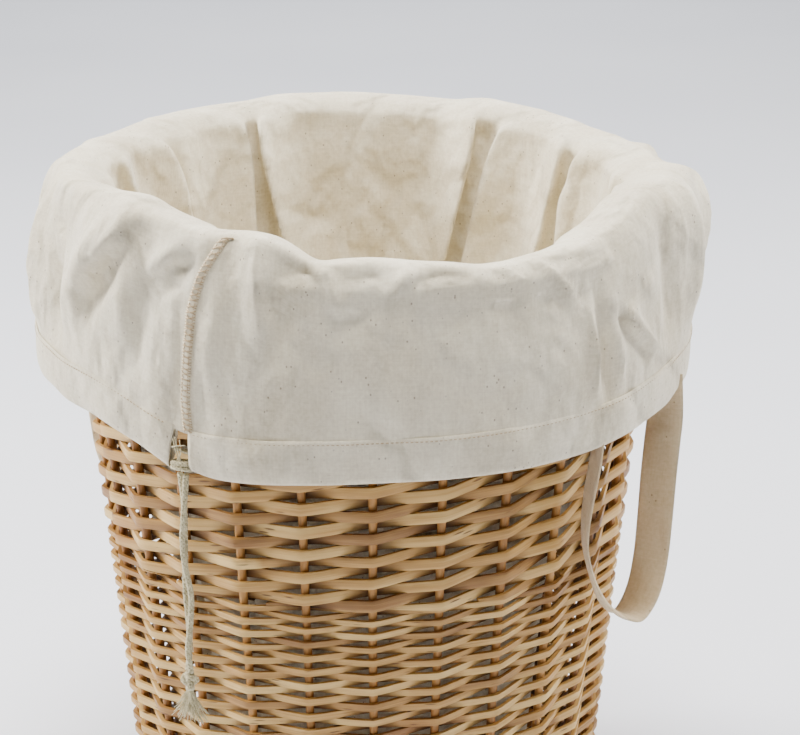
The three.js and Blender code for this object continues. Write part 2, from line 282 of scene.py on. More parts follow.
def willow(light, mid, dark, satin, painted_recess_shade=0.0):
    """Peeled willow: long grain, slow changes from rod to rod, small dark knots, and painted shade on
    the faces that lie further in.
    """
    def paint(bench):
        straight = bench.stored("straight", "Vector")
        rod = bench.stored("rod")
        proud = bench.stored("proud")
        grain = bench.noise(stretched(bench, straight, 30, 900, 900), 1.0, 3.0, 0.6)
        streaks = bench.noise(stretched(bench, straight, 8, 260, 260), 1.0, 2.0)
        patches = bench.noise(stretched(bench, straight, 22, 60, 60), 1.0, 2.0)
        tone = streaks * 0.34 + patches * 0.36 + grain * 0.28 + rod * 0.34 - 0.16
        base = bench.ramp(tone, (0.28, dark), (0.50, mid), (0.74, light))
        along, _, up = straight.parts()
        knots = bench.cells(bench.vector(along * 36, up * 230, 0.0), voronoi_dimensions="2D")
        clumps = bench.noise(stretched(bench, straight, 26, 40, 40), 1.0, 1.0)
        spotted = (1 - knots.ramped(0.08, 0.20)) * clumps.ramped(0.54, 0.62)
        spots = bench.blend_colours(spotted * 0.8, base, (*colour(88, 50, 24), 1))
        place = bench.own_place()
        stain = bench.noise(place, 9.0, 3.0).ramped(0.52, 0.78)
        stain_and_painted_shade = bench.blend_colours(stain * 0.42, spots, (*colour(196, 134, 70), 1), "MULTIPLY")
        # painted shade: the faces that lie further in, behind the stakes, are multiplied towards dark
        # brown (98, 64, 32), as shade would fall there
        shaded = proud.ramped(0.3, -0.9) * painted_recess_shade
        stain_and_painted_shade = bench.blend_colours(shaded, stain_and_painted_shade, (*colour(98, 64, 32), 1), "MULTIPLY")
        height = grain * 0.5 + streaks * 0.5 - spotted * 0.8
        return {
            "Base Color": stain_and_painted_shade,
            "Roughness": grain * 0.12 + satin,
            "Normal": bench.bump(height, 0.0004, 0.7),
            "Specular IOR Level": 0.42,
        }
    return paint


THREAD_SPACING = 0.00075


def calico(dark, light):
    """Unbleached cotton: a plain weave, slubs along both threads, and flecks of seed husk."""
    def paint(bench):
        run = bench.stored("cloth", "Vector")
        across, along, _ = run.parts()
        thread = 2 * math.pi / THREAD_SPACING
        warp = (across * thread).sine()
        weft = (along * thread).sine()
        over = ((across * (thread / 2)).sine() * (along * (thread / 2)).sine()).size()
        slub_across = bench.noise(stretched(bench, run, 900, 45, 1), 1.0, 2.0)
        slub_along = bench.noise(stretched(bench, run, 45, 900, 1), 1.0, 2.0)
        place = bench.own_place()
        cloudy = bench.noise(stretched(bench, place, 24, 24, 17), 1.0, 4.0)
        mottled = bench.noise(place, 420.0, 2.0)
        mix = cloudy * 0.42 + mottled * 0.28 + slub_across * 0.15 + slub_along * 0.15
        base = bench.ramp(mix, (0.30, dark), (0.64, light))
        husks = bench.cells(stretched(bench, place, 210, 210, 160))
        scarce = bench.noise(stretched(bench, place, 52, 52, 47), 1.0, 1.0).ramped(0.46, 0.56)
        fleck = (1 - husks.ramped(0.08, 0.16)) * scarce
        hairs = bench.cells(stretched(bench, run, 70, 520, 1))
        hairy = bench.noise(stretched(bench, place, 37, 37, 41), 1.0).ramped(0.55, 0.68)
        hair = (1 - hairs.ramped(0.04, 0.12)) * hairy
        flecked = bench.blend_colours(fleck * 0.62, base, (*colour(120, 92, 62), 1))
        flecked = bench.blend_colours(hair * 0.30, flecked, (*colour(150, 122, 88), 1))
        height = warp * 0.25 + weft * 0.25 + over * 0.4 + slub_across * 0.6 + slub_along * 0.6
        soft = bench.noise(stretched(bench, place, 56, 56, 42), 1.0, 3.0)
        warped = bench.noise(stretched(bench, place, 17, 17, 12), 1.0, 3.0, 0.45)
        crumpled = (warped - 0.5).size().ramped(0.0, 0.16)
        creased = bench.bump(soft * 0.5 + crumpled, 0.0045, 0.8)
        return {
            "Base Color": flecked,
            "Roughness": 0.92,
            "Normal": bench.bump(height, 0.00012, 0.55, creased),
            "Sheen Weight": 0.22,
            "Sheen Roughness": 0.5,
            "Specular IOR Level": 0.2,
        }
    return paint


def braided_cotton():
    def paint(bench):
        place = bench.own_place()
        fine = bench.noise(place, 2600, 2.0)
        coarse = bench.noise(place, 260, 2.0)
        mix = fine * 0.55 + coarse * 0.45
        base = bench.ramp(mix, (0.30, colour(156, 142, 100)), (0.70, colour(240, 230, 192)))
        return {
            "Base Color": base,
            "Roughness": 0.95,
            "Normal": bench.bump(fine, 0.0003, 0.6),
            "Sheen Weight": 0.3,
            "Specular IOR Level": 0.2,
        }
    return paint


def plain_thread():
    def paint(bench):
        place = bench.own_place()
        wear = bench.noise(place, 900, 1.0)
        base = bench.ramp(wear, (0.3, colour(176, 150, 112)), (0.7, colour(206, 184, 148)))
        return {"Base Color": base, "Roughness": 0.8, "Normal": bench.bump(wear, 0.0001, 0.5)}
    return paint


ROD_COLOURS = colour(224, 188, 118), colour(188, 144, 76), colour(136, 94, 42)
STAKE_COLOURS = colour(200, 150, 82), colour(172, 120, 56), colour(120, 78, 32)
# the rod finish has painted shade on the rods' inner faces, behind the stakes
ROD_FINISH = finish_named("peeled willow rod", willow(*ROD_COLOURS, 0.46, painted_recess_shade=0.9))
STAKE_FINISH = finish_named("peeled willow stake", willow(*STAKE_COLOURS, 0.44))
PLAIN_ROD_FINISH = finish_named("peeled willow binding", willow(*ROD_COLOURS, 0.46))
CLOTH_FINISH = finish_named("unbleached calico", calico(colour(204, 190, 160), colour(243, 234, 210)))
TAPE_FINISH = finish_named("cotton tape", calico(colour(190, 166, 128), colour(220, 200, 164)))
CORD_FINISH = finish_named("braided cotton", braided_cotton())
THREAD_FINISH = finish_named("sewing thread", plain_thread())


# ---------- mesh tools ----------

def placed(name, data):
    """A new object in the scene."""
    thing = bpy.data.objects.new(name, data)
    bpy.context.scene.collection.objects.link(thing)
    return thing


def aimed(thing, direction):
    """A camera or lamp, turned to look along a direction."""
    thing.rotation_mode = "QUATERNION"
    thing.rotation_quaternion = Vector(direction).to_track_quat("-Z", "Y")


def ride_as(piece, body, slot, *nodes):
    """The piece, attached to its body, with the nodes that it stands for, if any, hidden. The finish
    slot is not used.
    """
    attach(piece, body)
    if nodes:
        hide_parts(*nodes)
    return piece


def piece_of(name, vertices, faces, material, attributes=None):
    mesh = bpy.data.meshes.new(name)
    mesh.from_pydata([tuple(v) for v in np.asarray(vertices, float)], [], [tuple(f) for f in faces])
    for key, values in (attributes or {}).items():
        store = mesh.attributes.new(key, "FLOAT_VECTOR", "POINT")
        store.data.foreach_set("vector", np.asarray(values, np.float32).ravel())
    mesh.polygons.foreach_set("use_smooth", [True] * len(mesh.polygons))
    mesh.materials.append(material)
    mesh.update()
    return placed(name, mesh)


def made_mesh(thing):
    """A new plain mesh of an object as its modifiers leave it."""
    depsgraph = bpy.context.evaluated_depsgraph_get()
    return bpy.data.meshes.new_from_object(thing.evaluated_get(depsgraph))


def settle(piece):
    """The piece's modifiers, worked into its mesh."""
    made = made_mesh(piece)
    piece.modifiers.clear()
    piece.data = made
    return piece


def run_along(path):
    """How far along a path each of its points lies."""
    return np.concatenate([[0], np.cumsum(np.linalg.norm(np.diff(path, axis=0), axis=1))])


def curve_between(a, b, c, d, t):
    """The smooth curve from b to c, between a and d, at share t of the way."""
    square = (2 * a - 5 * b + 4 * c - d) * t**2
    return 0.5 * (2 * b + (c - a) * t + square + (3 * b - a - 3 * c + d) * t**3)


def smooth_path(points, steps):
    """Points on a smooth curve through the given ones, spaced evenly."""
    points = np.asarray(points, float)
    padded = np.vstack([2 * points[0] - points[1], points, 2 * points[-1] - points[-2]])
    curve = []
    for a, b, c, d in zip(padded, padded[1:], padded[2:], padded[3:]):
        for t in np.linspace(0, 1, 16, endpoint=False):
            curve.append(curve_between(a, b, c, d, t))
    curve = np.array([*curve, points[-1]])
    run = run_along(curve)
    wanted = np.linspace(0, run[-1], steps)
    return np.stack([np.interp(wanted, run, curve[:, i]) for i in range(3)], axis=1)


def frames_along(path, closed=False):
    """The direction and the two sideways directions at each point of a path."""
    ahead = np.roll(path, -1, 0) - np.roll(path, 1, 0) if closed else np.gradient(path, axis=0)
    ahead /= np.linalg.norm(ahead, axis=1)[:, None]
    side = np.cross(ahead[0], [0.31, 0.17, 0.93])
    sides = []
    for direction in ahead:
        side = side - direction * side.dot(direction)
        side = side / np.linalg.norm(side)
        sides.append(side)
    sides = np.array(sides)
    return ahead, sides, np.cross(ahead, sides)


def tube(path, radius, sides, closed=False):
    """Vertices and faces of a round tube along a path, with closed ends unless it is a ring."""
    path = np.asarray(path, float)
    count = len(path)
    _, first, second = frames_along(path, closed)
    radius = np.broadcast_to(radius, (count,))[:, None, None]
    angle = (np.arange(sides) * 2 * math.pi / sides)[None, :, None]
    ring = first[:, None, :] * np.cos(angle) + second[:, None, :] * np.sin(angle)
    vertices = (path[:, None, :] + ring * radius).reshape(-1, 3)
    faces = []
    for i in range(count if closed else count - 1):
        j = (i + 1) % count
        for k in range(sides):
            n = (k + 1) % sides
            faces.append((i * sides + k, i * sides + n, j * sides + n, j * sides + k))
    if not closed:
        faces.append(tuple(reversed(range(sides))))
        faces.append(tuple((count - 1) * sides + k for k in range(sides)))
    return vertices, faces


def gathered(shapes):
    """Several lots of vertices and faces as one."""
    vertices, faces, start = [], [], 0
    for points, polygons in shapes:
        vertices.append(points)
        faces += [tuple(start + i for i in polygon) for polygon in polygons]
        start += len(points)
    return np.vstack(vertices), faces


def braid(path, diameter, pitch, closed=False, strands=8):
    """A braid: two sets of strands that wind against each other, over and under, round a core."""
    path = np.asarray(path, float)
    _, first, second = frames_along(path, closed)
    run = run_along(path)
    turns = run / pitch
    if closed:
        total = run[-1] + np.linalg.norm(path[0] - path[-1])
        turns = run / total * max(1, round(total / pitch))
    thick = diameter * 0.19
    shapes = [tube(path, diameter * 0.31, 5, closed)]
    half = strands // 2
    for hand in (1, -1):
        for i in range(half):
            angle = hand * 2 * math.pi * turns + 2 * math.pi * (i + 0.25 * hand) / half
            weave = np.cos(angle * half * hand) * hand * 0.35
            out = diameter / 2 - thick * (1.0 - weave)
            outwards = first * (out * np.cos(angle))[:, None]
            line = path + outwards + second * (out * np.sin(angle))[:, None]
            shapes.append(tube(line, thick, 5, closed))
    return gathered(shapes)


# ---------- camera ----------

def place_camera():
    data = bpy.data.cameras.new("camera")
    data.sensor_width = 36
    data.lens = 99.86
    data.clip_end = 50
    camera = placed("camera", data)
    camera.location = (-0.0382, -1.5195, 0.891)
    aimed(camera, (0.0397, 0.9460, -0.3216))
    bpy.context.scene.camera = camera


place_camera()


# ---------- drawstring ----------

# Millimetres across, share of the drop, and degrees that the two tails have turned round each other.
TAIL_SWAY = [
    (0, 0, 0), (0, 0.16, 55), (-1.2, 0.32, 75), (-0.8, 0.46, 55),
    (1, 0.6, 8), (1.2, 0.74, 40), (0, 0.88, 70), (0, 1, 30),
]
TASSEL_THREADS = 120
# Loose threads across the hem's mouth: three points each, as millimetres across, up and out.
LOOSE_THREADS = [
    ((-4.2, 20, 3.0), (-1.0, 11, 4.2), (0.6, 4, 2.6)),
    ((-2.6, 21, 3.0), (0.6, 13, 4.6), (1.4, 5, 3.0)),
    ((-5.0, 14, 3.2), (0.0, 16, 4.6), (5.6, 17, 3.6)),
    ((1.0, 20, 3.2), (2.6, 12, 4.4), (-1.0, 6, 3.2)),
]
ACROSS = at(1.0, CORD_BEARING + 90, 0.0)
OUTWARD = at(1.0, CORD_BEARING, 0.0)
UP = np.array([0.0, 0.0, 1.0])
HANG = at(CORD_RADIUS_OUT, CORD_BEARING, CORD_EXIT_HEIGHT)


def tail_route(side):
    points = []
    for sway, drop, turn in TAIL_SWAY:
        apart = ACROSS * math.cos(math.radians(turn)) + OUTWARD * math.sin(math.radians(turn))
        points.append(HANG + ACROSS * sway / 1000 + apart * side * 0.0023 - UP * drop * TAIL_DROP)
    return points


def make_knot():
    low, high = box_of("drawstring_knot")
    middle = (low + high) / 2
    t = np.linspace(0, 2 * math.pi, 90, endpoint=False)
    size = 0.00138
    loop = np.stack([
        (np.sin(t) + 2 * np.sin(2 * t)) * size * 1.05,
        (np.cos(t) - 2 * np.cos(2 * t)) * size * 1.25,
        -np.sin(3 * t) * size * 1.5,
    ], axis=1)
    line = middle + loop[:, :1] * ACROSS + loop[:, 1:2] * UP + loop[:, 2:] * OUTWARD
    vertices, faces = braid(line, 0.0040, 0.011, closed=True)
    core, core_faces = tube([middle + [0, 0, 0.0062], middle, middle - [0, 0, 0.0064]], 0.0030, 10)
    vertices, faces = gathered([(vertices, faces), (core, core_faces)])
    return piece_of("knot", vertices, faces, CORD_FINISH)


def make_tassel():
    low, high = box_of("drawstring_tassel")
    top = np.array([*(HANG[:2]), high[2] + 0.001])
    random = np.random.default_rng(11)
    shapes = []
    for i in range(TASSEL_THREADS):
        turn = 2 * math.pi * i / TASSEL_THREADS * 7.0
        reach = 0.0135 * math.sqrt(random.uniform(0.02, 1))
        length = random.uniform(0.017, 0.0262) - reach * 0.25
        lean = ACROSS * math.cos(turn) + OUTWARD * math.sin(turn) * 0.45
        curl = ACROSS * random.normal(0, 0.0016) + OUTWARD * random.normal(0, 0.0010)
        share = np.linspace(0, 1, 7)[:, None]
        start = lean * 0.0022 * random.uniform(0.2, 1)
        line = top + start + lean * reach * share**1.7
        line = line + curl * np.sin(share * 5) * share - UP * length * share
        line[:, 2] = np.maximum(line[:, 2], low[2])
        shapes.append(tube(line, np.linspace(0.00042, 0.00022, 7), 5))
    vertices, faces = gathered(shapes)
    return piece_of("tassel", vertices, faces, CORD_FINISH)


def make_hitch():
    """The turn of the drawstring that is tied round both tails under the hem."""
    low, high = box_of("drawstring_hitch")
    shapes = []
    turn = np.linspace(0, 2 * math.pi, 40, endpoint=False)
    middle = at(CORD_RADIUS_OUT + 0.0010, CORD_BEARING, (low[2] + high[2]) / 2)
    for lift in (-0.0044, -0.0008):
        line = (
            middle
            + ACROSS * (np.cos(turn) * 0.0068)[:, None]
            + OUTWARD * (np.sin(turn) * 0.0028)[:, None]
            + UP * (lift + 0.0007 * np.cos(turn + lift * 300))[:, None]
        )
        shapes.append(braid(line, 0.0036, 0.010, closed=True))
    for thread in LOOSE_THREADS:
        points = [middle + (ACROSS * x + UP * (z - 4) + OUTWARD * y) / 1000 for x, z, y in thread]
        shapes.append(tube(smooth_path(points, 14), 0.00036, 6))
    vertices, faces = gathered(shapes)
    return piece_of("hitch", vertices, faces, CORD_FINISH)


def make_drawstring():
    knot, tassel, hitch = make_knot(), make_tassel(), make_hitch()
    ride_as(knot, "drawstring", "cotton_cord", "drawstring_knot")
    ride_as(tassel, "drawstring", "cotton_cord", "drawstring_tassel")
    ride_as(hitch, "liner", "cotton_cord", "drawstring_hitch")
    for side, hand in ((-1, "left"), (1, "right")):
        route = smooth_path(tail_route(side), 120)
        vertices, faces = braid(route, CORD_DIAMETER, BRAID_PITCH)
        tail = piece_of(f"tail_{hand}", vertices, faces, CORD_FINISH)
        ride_as(tail, "drawstring", "cotton_cord", f"drawstring_tail_{hand}")


make_drawstring()


# ---------- willow, by geometry nodes ----------

def tree_named(name, sizes, fill):
    """A tree with a named input for each size, that fills itself and gives one finished mesh."""
    tree = bpy.data.node_groups.new(name, "GeometryNodeTree")
    tree.is_modifier = True
    tree.interface.new_socket("Line", in_out="INPUT", socket_type="NodeSocketGeometry")
    for size, value in sizes.items():
        kind = "NodeSocketInt" if isinstance(value, int) else "NodeSocketFloat"
        socket = tree.interface.new_socket(size, in_out="INPUT", socket_type=kind)
        socket.default_value = value
    tree.interface.new_socket("Finish", in_out="INPUT", socket_type="NodeSocketMaterial")
    tree.interface.new_socket("Made", in_out="OUTPUT", socket_type="NodeSocketGeometry")
    bench = Bench(tree)
    entry = tree.nodes.new("NodeGroupInput")
    given = {socket.name: Wire(bench, socket) for socket in entry.outputs if socket.name}
    made = fill(bench, given)
    made = bench.add("GeometryNodeRealizeInstances", {}, {"Geometry": made})
    made = bench.add("GeometryNodeSetMaterial", {}, {"Geometry": made, "Material": given["Finish"]})
    way_out = tree.nodes.new("NodeGroupOutput")
    tree.links.new(made.socket, way_out.inputs["Made"])
    return tree


def grow(name, tree, material, line=None, **sizes):
    """The plain mesh that a tree makes from the named sizes."""
    carrier = placed(name, line or bpy.data.meshes.new(name))
    modifier = carrier.modifiers.new("grown", "NODES")
    modifier.node_group = tree
    for item in tree.interface.items_tree:
        if item.in_out == "INPUT" and item.socket_type != "NodeSocketGeometry":
            value = material if item.name == "Finish" else sizes.get(item.name)
            if value is not None:
                modifier[item.identifier] = value
    mesh = made_mesh(carrier)
    bpy.data.objects.remove(carrier)
    return placed(name, mesh)


def several_tubes(bench, count, sides, segments, depth, capped=True):
    """Tubes of radius 1, all standing in one place, each with its number in "index"."""
    tube_mesh = bench.add(
        "GeometryNodeMeshCylinder",
        {"fill_type": "NGON" if capped else "NONE"},
        {"Vertices": sides, "Side Segments": segments, "Radius": 1.0, "Depth": depth},
    )
    spots = bench.add("GeometryNodeMeshLine", {}, {"Count": count, "Offset": (0, 0, 0)})
    copies = bench.add("GeometryNodeInstanceOnPoints", {}, {"Points": spots, "Instance": tube_mesh})
    numbered = keep(bench, copies, "index", bench.add("GeometryNodeInputIndex"), "FLOAT", "INSTANCE")
    return bench.add("GeometryNodeRealizeInstances", {}, {"Geometry": numbered})


def keep(bench, geometry, name, value, kind="FLOAT", domain="POINT"):
    settings = {"data_type": kind, "domain": domain}
    inputs = {"Geometry": geometry, "Name": name, "Value": value}
    return bench.add("GeometryNodeStoreNamedAttribute", settings, inputs)


def kept(bench, name, kind="FLOAT"):
    return bench.add("GeometryNodeInputNamedAttribute", {"data_type": kind}, {"Name": name})


def chance(bench, number, low, high, seed):
    """A random value for each number, the same on every run."""
    inputs = {2: low, 3: high, "ID": number, "Seed": seed}
    return bench.add("FunctionNodeRandomValue", {"data_type": "FLOAT"}, inputs, output=1)


def moved_to(bench, geometry, place):
    geometry = bench.add("GeometryNodeSetPosition", {}, {"Geometry": geometry, "Position": place})
    return bench.add("GeometryNodeSetShadeSmooth", {}, {0: geometry})


def with_grain(bench, rods, straight, rod):
    """The rods with what the finish reads: a place on the straight rod, and a number for the rod."""
    rods = keep(bench, rods, "straight", straight, "FLOAT_VECTOR")
    return keep(bench, rods, "rod", rod)


def joined_ends(bench, rods):
    """Rings whose first and last sections are one."""
    return bench.add("GeometryNodeMergeByDistance", {}, {"Geometry": rods, "Distance": 1e-5})


def round_the_axis(bench, radius, angle, height):
    """A point at a radius and an angle from the front, towards +X."""
    return bench.vector(radius * angle.sine(), radius * angle.cosine() * -1, height)


SIDING_SIZES = {
    "Rods": ROWS_LEAN, "Sides": 8, "Segments": 300, "Gaps": 40.0, "First gap": 0.0,
    "Start row": 26.0, "Rows": 24.0, "Head": 0.47, "Pitch": 0.008, "Growth": 0.0,
    "Growing rows": 16.0, "Fill": 0.9, "Thickness": 0.0034, "Swing": 0.0050,
}


def fill_siding(bench, given):
    """Flat rods that climb round side by side, each in front of one stake and behind the next."""
    rods = several_tubes(bench, given["Rods"], given["Sides"], given["Segments"], given["Gaps"])
    x, y, z = bench.add("GeometryNodeInputPosition").parts()
    rod = kept(bench, "index")
    gaps = z + given["Gaps"] / 2 + given["First gap"]
    bearing = gaps + rod * (STAKES / ROWS_LEAN)
    section_x = (x * 1.5).between(-1, 1)
    section_y = (y * 1.3).between(-1, 1)
    wander = bench.noise(bench.vector(gaps * 0.33, rod * 7.3, 0.0), 1.0, 1.0)
    length_number = ((gaps + chance(bench, rod, 0.0, 19.0, 3)) / 19.0).floor() + rod * 11
    plumpness = chance(bench, length_number, 0.86, 1.04, 5)
    row = given["Start row"] - gaps * (ROWS_LEAN / STAKES)
    edge_row = row - section_y * given["Fill"] * plumpness * 0.5 + (wander - 0.5) * 0.46
    edge_row = edge_row.between(0.0, given["Rows"])
    grown = edge_row.at_most(given["Growing rows"])
    beyond = (edge_row - given["Growing rows"]).at_least(0.0)
    drop = (
        edge_row * given["Pitch"]
        + grown * grown * given["Growth"] * 0.5
        + beyond * given["Growing rows"] * given["Growth"]
    )
    height = given["Head"] - drop
    # +1 in front of a stake, -1 behind the next, straight between them
    zigzag = ((bearing + rod) % 2.0 - 1).size() * 2 - 1
    swing = (zigzag * 1.10).between(-1, 1)
    hollow = math.cos(GAP_TURN / 2) / ((bearing % 1.0 - 0.5) * GAP_TURN).cosine()
    depth = bench.noise(bench.vector(gaps * 0.5, rod * 3.1, 9.0), 1.0, 1.0) - 0.5
    radius = (
        (height * STAKE_SLOPE + STAKE_FOOT_RADIUS) * hollow
        + swing * given["Swing"]
        + section_x * given["Thickness"] * 0.5
        + depth * 0.0016
    )
    straight = bench.vector(gaps * 0.045 + rod * 3.7, section_x * 0.0018, section_y * 0.004)
    rods = with_grain(bench, rods, straight, chance(bench, length_number, 0.0, 1.0, 8))
    # how far out each face of a rod stands; the rod finish paints shade where it lies further in
    rods = keep(bench, rods, "proud", swing * 0.8 + section_x * 0.2)
    rods = moved_to(bench, rods, round_the_axis(bench, radius, bearing * GAP_TURN, height))
    corner = bench.add("GeometryNodeInputMeshEdgeAngle") > 0.55
    inputs = {0: rods, "Selection": corner, "Shade Smooth": False}
    return bench.add("GeometryNodeSetShadeSmooth", {"domain": "EDGE"}, inputs)


ROPE_SIZES = {
    "Strands": 3, "Rings": 2, "Segments": 156, "Twists": 26 / 3, "Radius": 0.2, "Height": 0.01,
    "Rise": 0.009, "Flare": 0.0008, "Half width": 0.005, "Half height": 0.0025, "Diameter": 0.005,
}


def fill_rope(bench, given):
    """Rods that wind round each other as they go round the basket, ring above ring."""
    count = given["Strands"] * given["Rings"]
    rods = several_tubes(bench, count, 10, given["Segments"], 1.0, capped=False)
    x, y, z = bench.add("GeometryNodeInputPosition").parts()
    number = kept(bench, "index")
    strand = number % given["Strands"]
    ring = (number / given["Strands"]).floor()
    share = z + 0.5
    twist = (share * given["Twists"] + strand / given["Strands"] + ring * 0.37) * (2 * math.pi)
    radius = (
        given["Radius"]
        + ring * given["Flare"]
        + twist.cosine() * given["Half width"]
        + x * given["Diameter"] * 0.5
    )
    height = (
        given["Height"]
        + ring * given["Rise"]
        + twist.sine() * given["Half height"]
        + y * given["Diameter"] * 0.5
    )
    straight = bench.vector(share * 1.2 + number * 2.3, x * 0.003, y * 0.003)
    rods = with_grain(bench, rods, straight, chance(bench, number, 0.0, 1.0, 4))
    rods = moved_to(bench, rods, round_the_axis(bench, radius, share * (2 * math.pi), height))
    return joined_ends(bench, rods)


def fill_stakes(bench, given):
    """Round rods that stand in a circle and lean outwards."""
    rods = several_tubes(bench, STAKES, 12, 40, 1.0)
    x, y, z = bench.add("GeometryNodeInputPosition").parts()
    number = kept(bench, "index")
    height = given["Foot"] + (z + 0.5) * given["Length"]
    bend = bench.noise(bench.vector(height * 9, number * 5.7, 0.0), 1.0, 1.0) - 0.5
    half = given["Diameter"] * (chance(bench, number, 0.92, 1.06, 2) * 0.5)
    circle = height * STAKE_SLOPE + STAKE_FOOT_RADIUS
    radius = circle + x * half + bend * 0.0012
    angle = number * GAP_TURN + (y * half + bend * 0.0022) / circle
    straight = bench.vector(height + number * 2.9, x * 0.003, y * 0.003)
    rods = with_grain(bench, rods, straight, chance(bench, number, 0.0, 1.0, 6))
    return moved_to(bench, rods, round_the_axis(bench, radius, angle, height))


def fill_base(bench, given):
    """Rings of thin rod over and under the spokes of the base."""
    rods = several_tubes(bench, given["Rings"], 8, BASE_SPOKES * 8, 1.0, capped=False)
    x, y, z = bench.add("GeometryNodeInputPosition").parts()
    number = kept(bench, "index")
    share = z + 0.5
    wave = ((share * BASE_SPOKES + number) * math.pi).cosine()
    radius = given["Inside"] + number * given["Pitch"] + x * given["Diameter"] * 0.5
    swing = (wave * 1.5).between(-1, 1) * given["Swing"]
    height = given["Height"] + swing + y * given["Diameter"] * 0.45
    straight = bench.vector(share + number * 1.9, x * 0.003, y * 0.003)
    rods = with_grain(bench, rods, straight, chance(bench, number, 0.0, 1.0, 12))
    rods = moved_to(bench, rods, round_the_axis(bench, radius, share * (2 * math.pi), height))
    return joined_ends(bench, rods)


def siding(name, node, tree, rows, start_row, **sizes):
    """A band of siding from its head down. Its rods start and stop thin, at its foot and head."""
    lean = STAKES / ROWS_LEAN
    half = sizes["Fill"] / 2 - THINNEST_END
    first = math.ceil((start_row - rows - half) * lean * SAMPLES_PER_GAP) / SAMPLES_PER_GAP
    last = math.floor((start_row + half) * lean * SAMPLES_PER_GAP) / SAMPLES_PER_GAP
    sizes.update({
        "First gap": first, "Gaps": last - first, "Segments": round((last - first) * SAMPLES_PER_GAP),
        "Start row": start_row, "Rows": rows,
    })
    piece = grow(name, tree, ROD_FINISH, **sizes)
    return ride_as(piece, "basket", "willow_rod", node)


def make_weave():
    tree = tree_named("siding", SIDING_SIZES, fill_siding)
    siding(
        "coarse_rods", "coarse_siding", tree, rows=COARSE_ROWS, start_row=25.8, Sides=12,
        Head=COARSE_HIGH, Pitch=(COARSE_HIGH - COARSE_LOW) / COARSE_ROWS, Fill=0.98,
        Thickness=0.0034, Swing=0.0050,
    )
    growing, pitch, growth = 16.0, 0.0046, 0.0001
    height = FINE_HIGH - FINE_LOW
    rows = (height + growth * growing**2 / 2) / (pitch + growth * growing)
    siding(
        "fine_rods", "fine_siding", tree, rows=rows, start_row=41.5, Sides=8, Head=FINE_HIGH,
        Pitch=pitch, Growth=growth, Fill=0.95, Thickness=0.0030, Swing=0.0047,
        **{"Growing rows": growing},
    )
    rope = tree_named("twined rings", ROPE_SIZES, fill_rope)
    for name, node, strands, rings, twists, width, height, diameter in (
        ("lower_wale_rods", "lower_wale", 3, 3, STAKES / 3, 0.0056, 0.0021, 0.0050),
        ("upper_wale_rods", "upper_wale", 3, 2, STAKES / 3, 0.0056, 0.0021, 0.0050),
        ("border_rods", "rolled_border", 5, 1, 5.2, 0.0088, 0.0046, 0.0074),
        ("foot_rods", "foot_border", 4, 1, 6.5, 0.0112, 0.0014, 0.0046),
    ):
        low, high = box_of(node)
        rise = (high[2] - low[2]) / rings
        middle = low[2] + rise / 2
        radius = stake_radius(middle)
        if node == "rolled_border":
            radius = high[0] - BORDER_HALF_WIDTH
        if node == "foot_border":
            radius = high[0] - FOOT_HALF_WIDTH
        piece = grow(
            name, rope, PLAIN_ROD_FINISH, Strands=strands, Rings=rings, Twists=twists,
            Radius=radius, Height=middle, Rise=rise, Flare=rise * STAKE_SLOPE, Diameter=diameter,
            **{"Half width": width, "Half height": height},
        )
        ride_as(piece, "basket", "willow_rod", node)
    stake_sizes = {"Foot": 0.01, "Length": 0.477, "Diameter": STAKE_DIAMETER}
    stakes = tree_named("stakes", stake_sizes, fill_stakes)
    low, high = box_of("stake_01")
    piece = grow("stake_rods", stakes, STAKE_FINISH, Foot=low[2], Length=high[2] - low[2])
    ride_as(piece, "basket", "willow_stake", *(f"stake_{i:02d}" for i in range(1, STAKES + 1)))


BASE_SIZES = {
    "Rings": BASE_RINGS, "Inside": BASE_INSIDE, "Pitch": 0.0053, "Height": 0.015,
    "Swing": 0.0034, "Diameter": 0.0052,
}
STICK_STEPS, STICK_SIDES, STICK_REACH = 48, 12, 0.150


def make_base():
    low, high = box_of("base_weave")
    tree = tree_named("base rings", BASE_SIZES, fill_base)
    pitch = (high[0] - 0.003 - BASE_INSIDE) / (BASE_RINGS - 1)
    piece = grow(
        "base_rods", tree, PLAIN_ROD_FINISH, Rings=BASE_RINGS, Inside=BASE_INSIDE, Pitch=pitch,
        Height=(low[2] + high[2]) / 2,
    )
    ride_as(piece, "basket", "willow_rod", "base_weave")
    for kind, turn, lift in (("pierced", 0.0, 0.0012), ("threaded", 90.0, -0.0012)):
        for i in range(4):
            make_stick(kind, i, math.radians(turn), BASE_LIFT + lift)


def make_stick(kind, i, turn, height):
    """One of four sticks that lie side by side in the middle of the base and spread at their ends."""
    offset = (i - 1.5) * 0.009
    spread = math.radians((i - 1.5) * 360 / BASE_SPOKES)
    x, y = STICK_REACH * math.cos(spread), STICK_REACH * math.sin(spread)
    points = [(-x, y), (-0.030, offset), (0, offset), (0.030, offset), (x, y)]
    cosine, sine = math.cos(turn), math.sin(turn)
    path = [(x * cosine - y * sine, x * sine + y * cosine, height) for x, y in points]
    taper = 0.0027 - 0.0006 * np.abs(np.linspace(-1, 1, STICK_STEPS))
    vertices, faces = tube(smooth_path(path, STICK_STEPS), taper, STICK_SIDES)
    run = np.repeat(np.linspace(0, 0.3, STICK_STEPS) + i, STICK_SIDES)
    girth = np.tile(np.arange(STICK_SIDES) * 0.0008, STICK_STEPS)
    straight = np.stack([run, girth, girth * 0.5], axis=1)
    name = f"{kind}_stick_{i + 1}"
    stick = piece_of(name, vertices, faces, STAKE_FINISH, attributes={"straight": straight})
    ride_as(stick, "basket", "willow_stake", f"{kind}_base_stick_{i + 1}")


make_weave()
make_base()


# ---------- liner ----------

def wrapped(angle):
    """The same angle, from -180 up to 180."""
    return (angle + 180) % 360 - 180


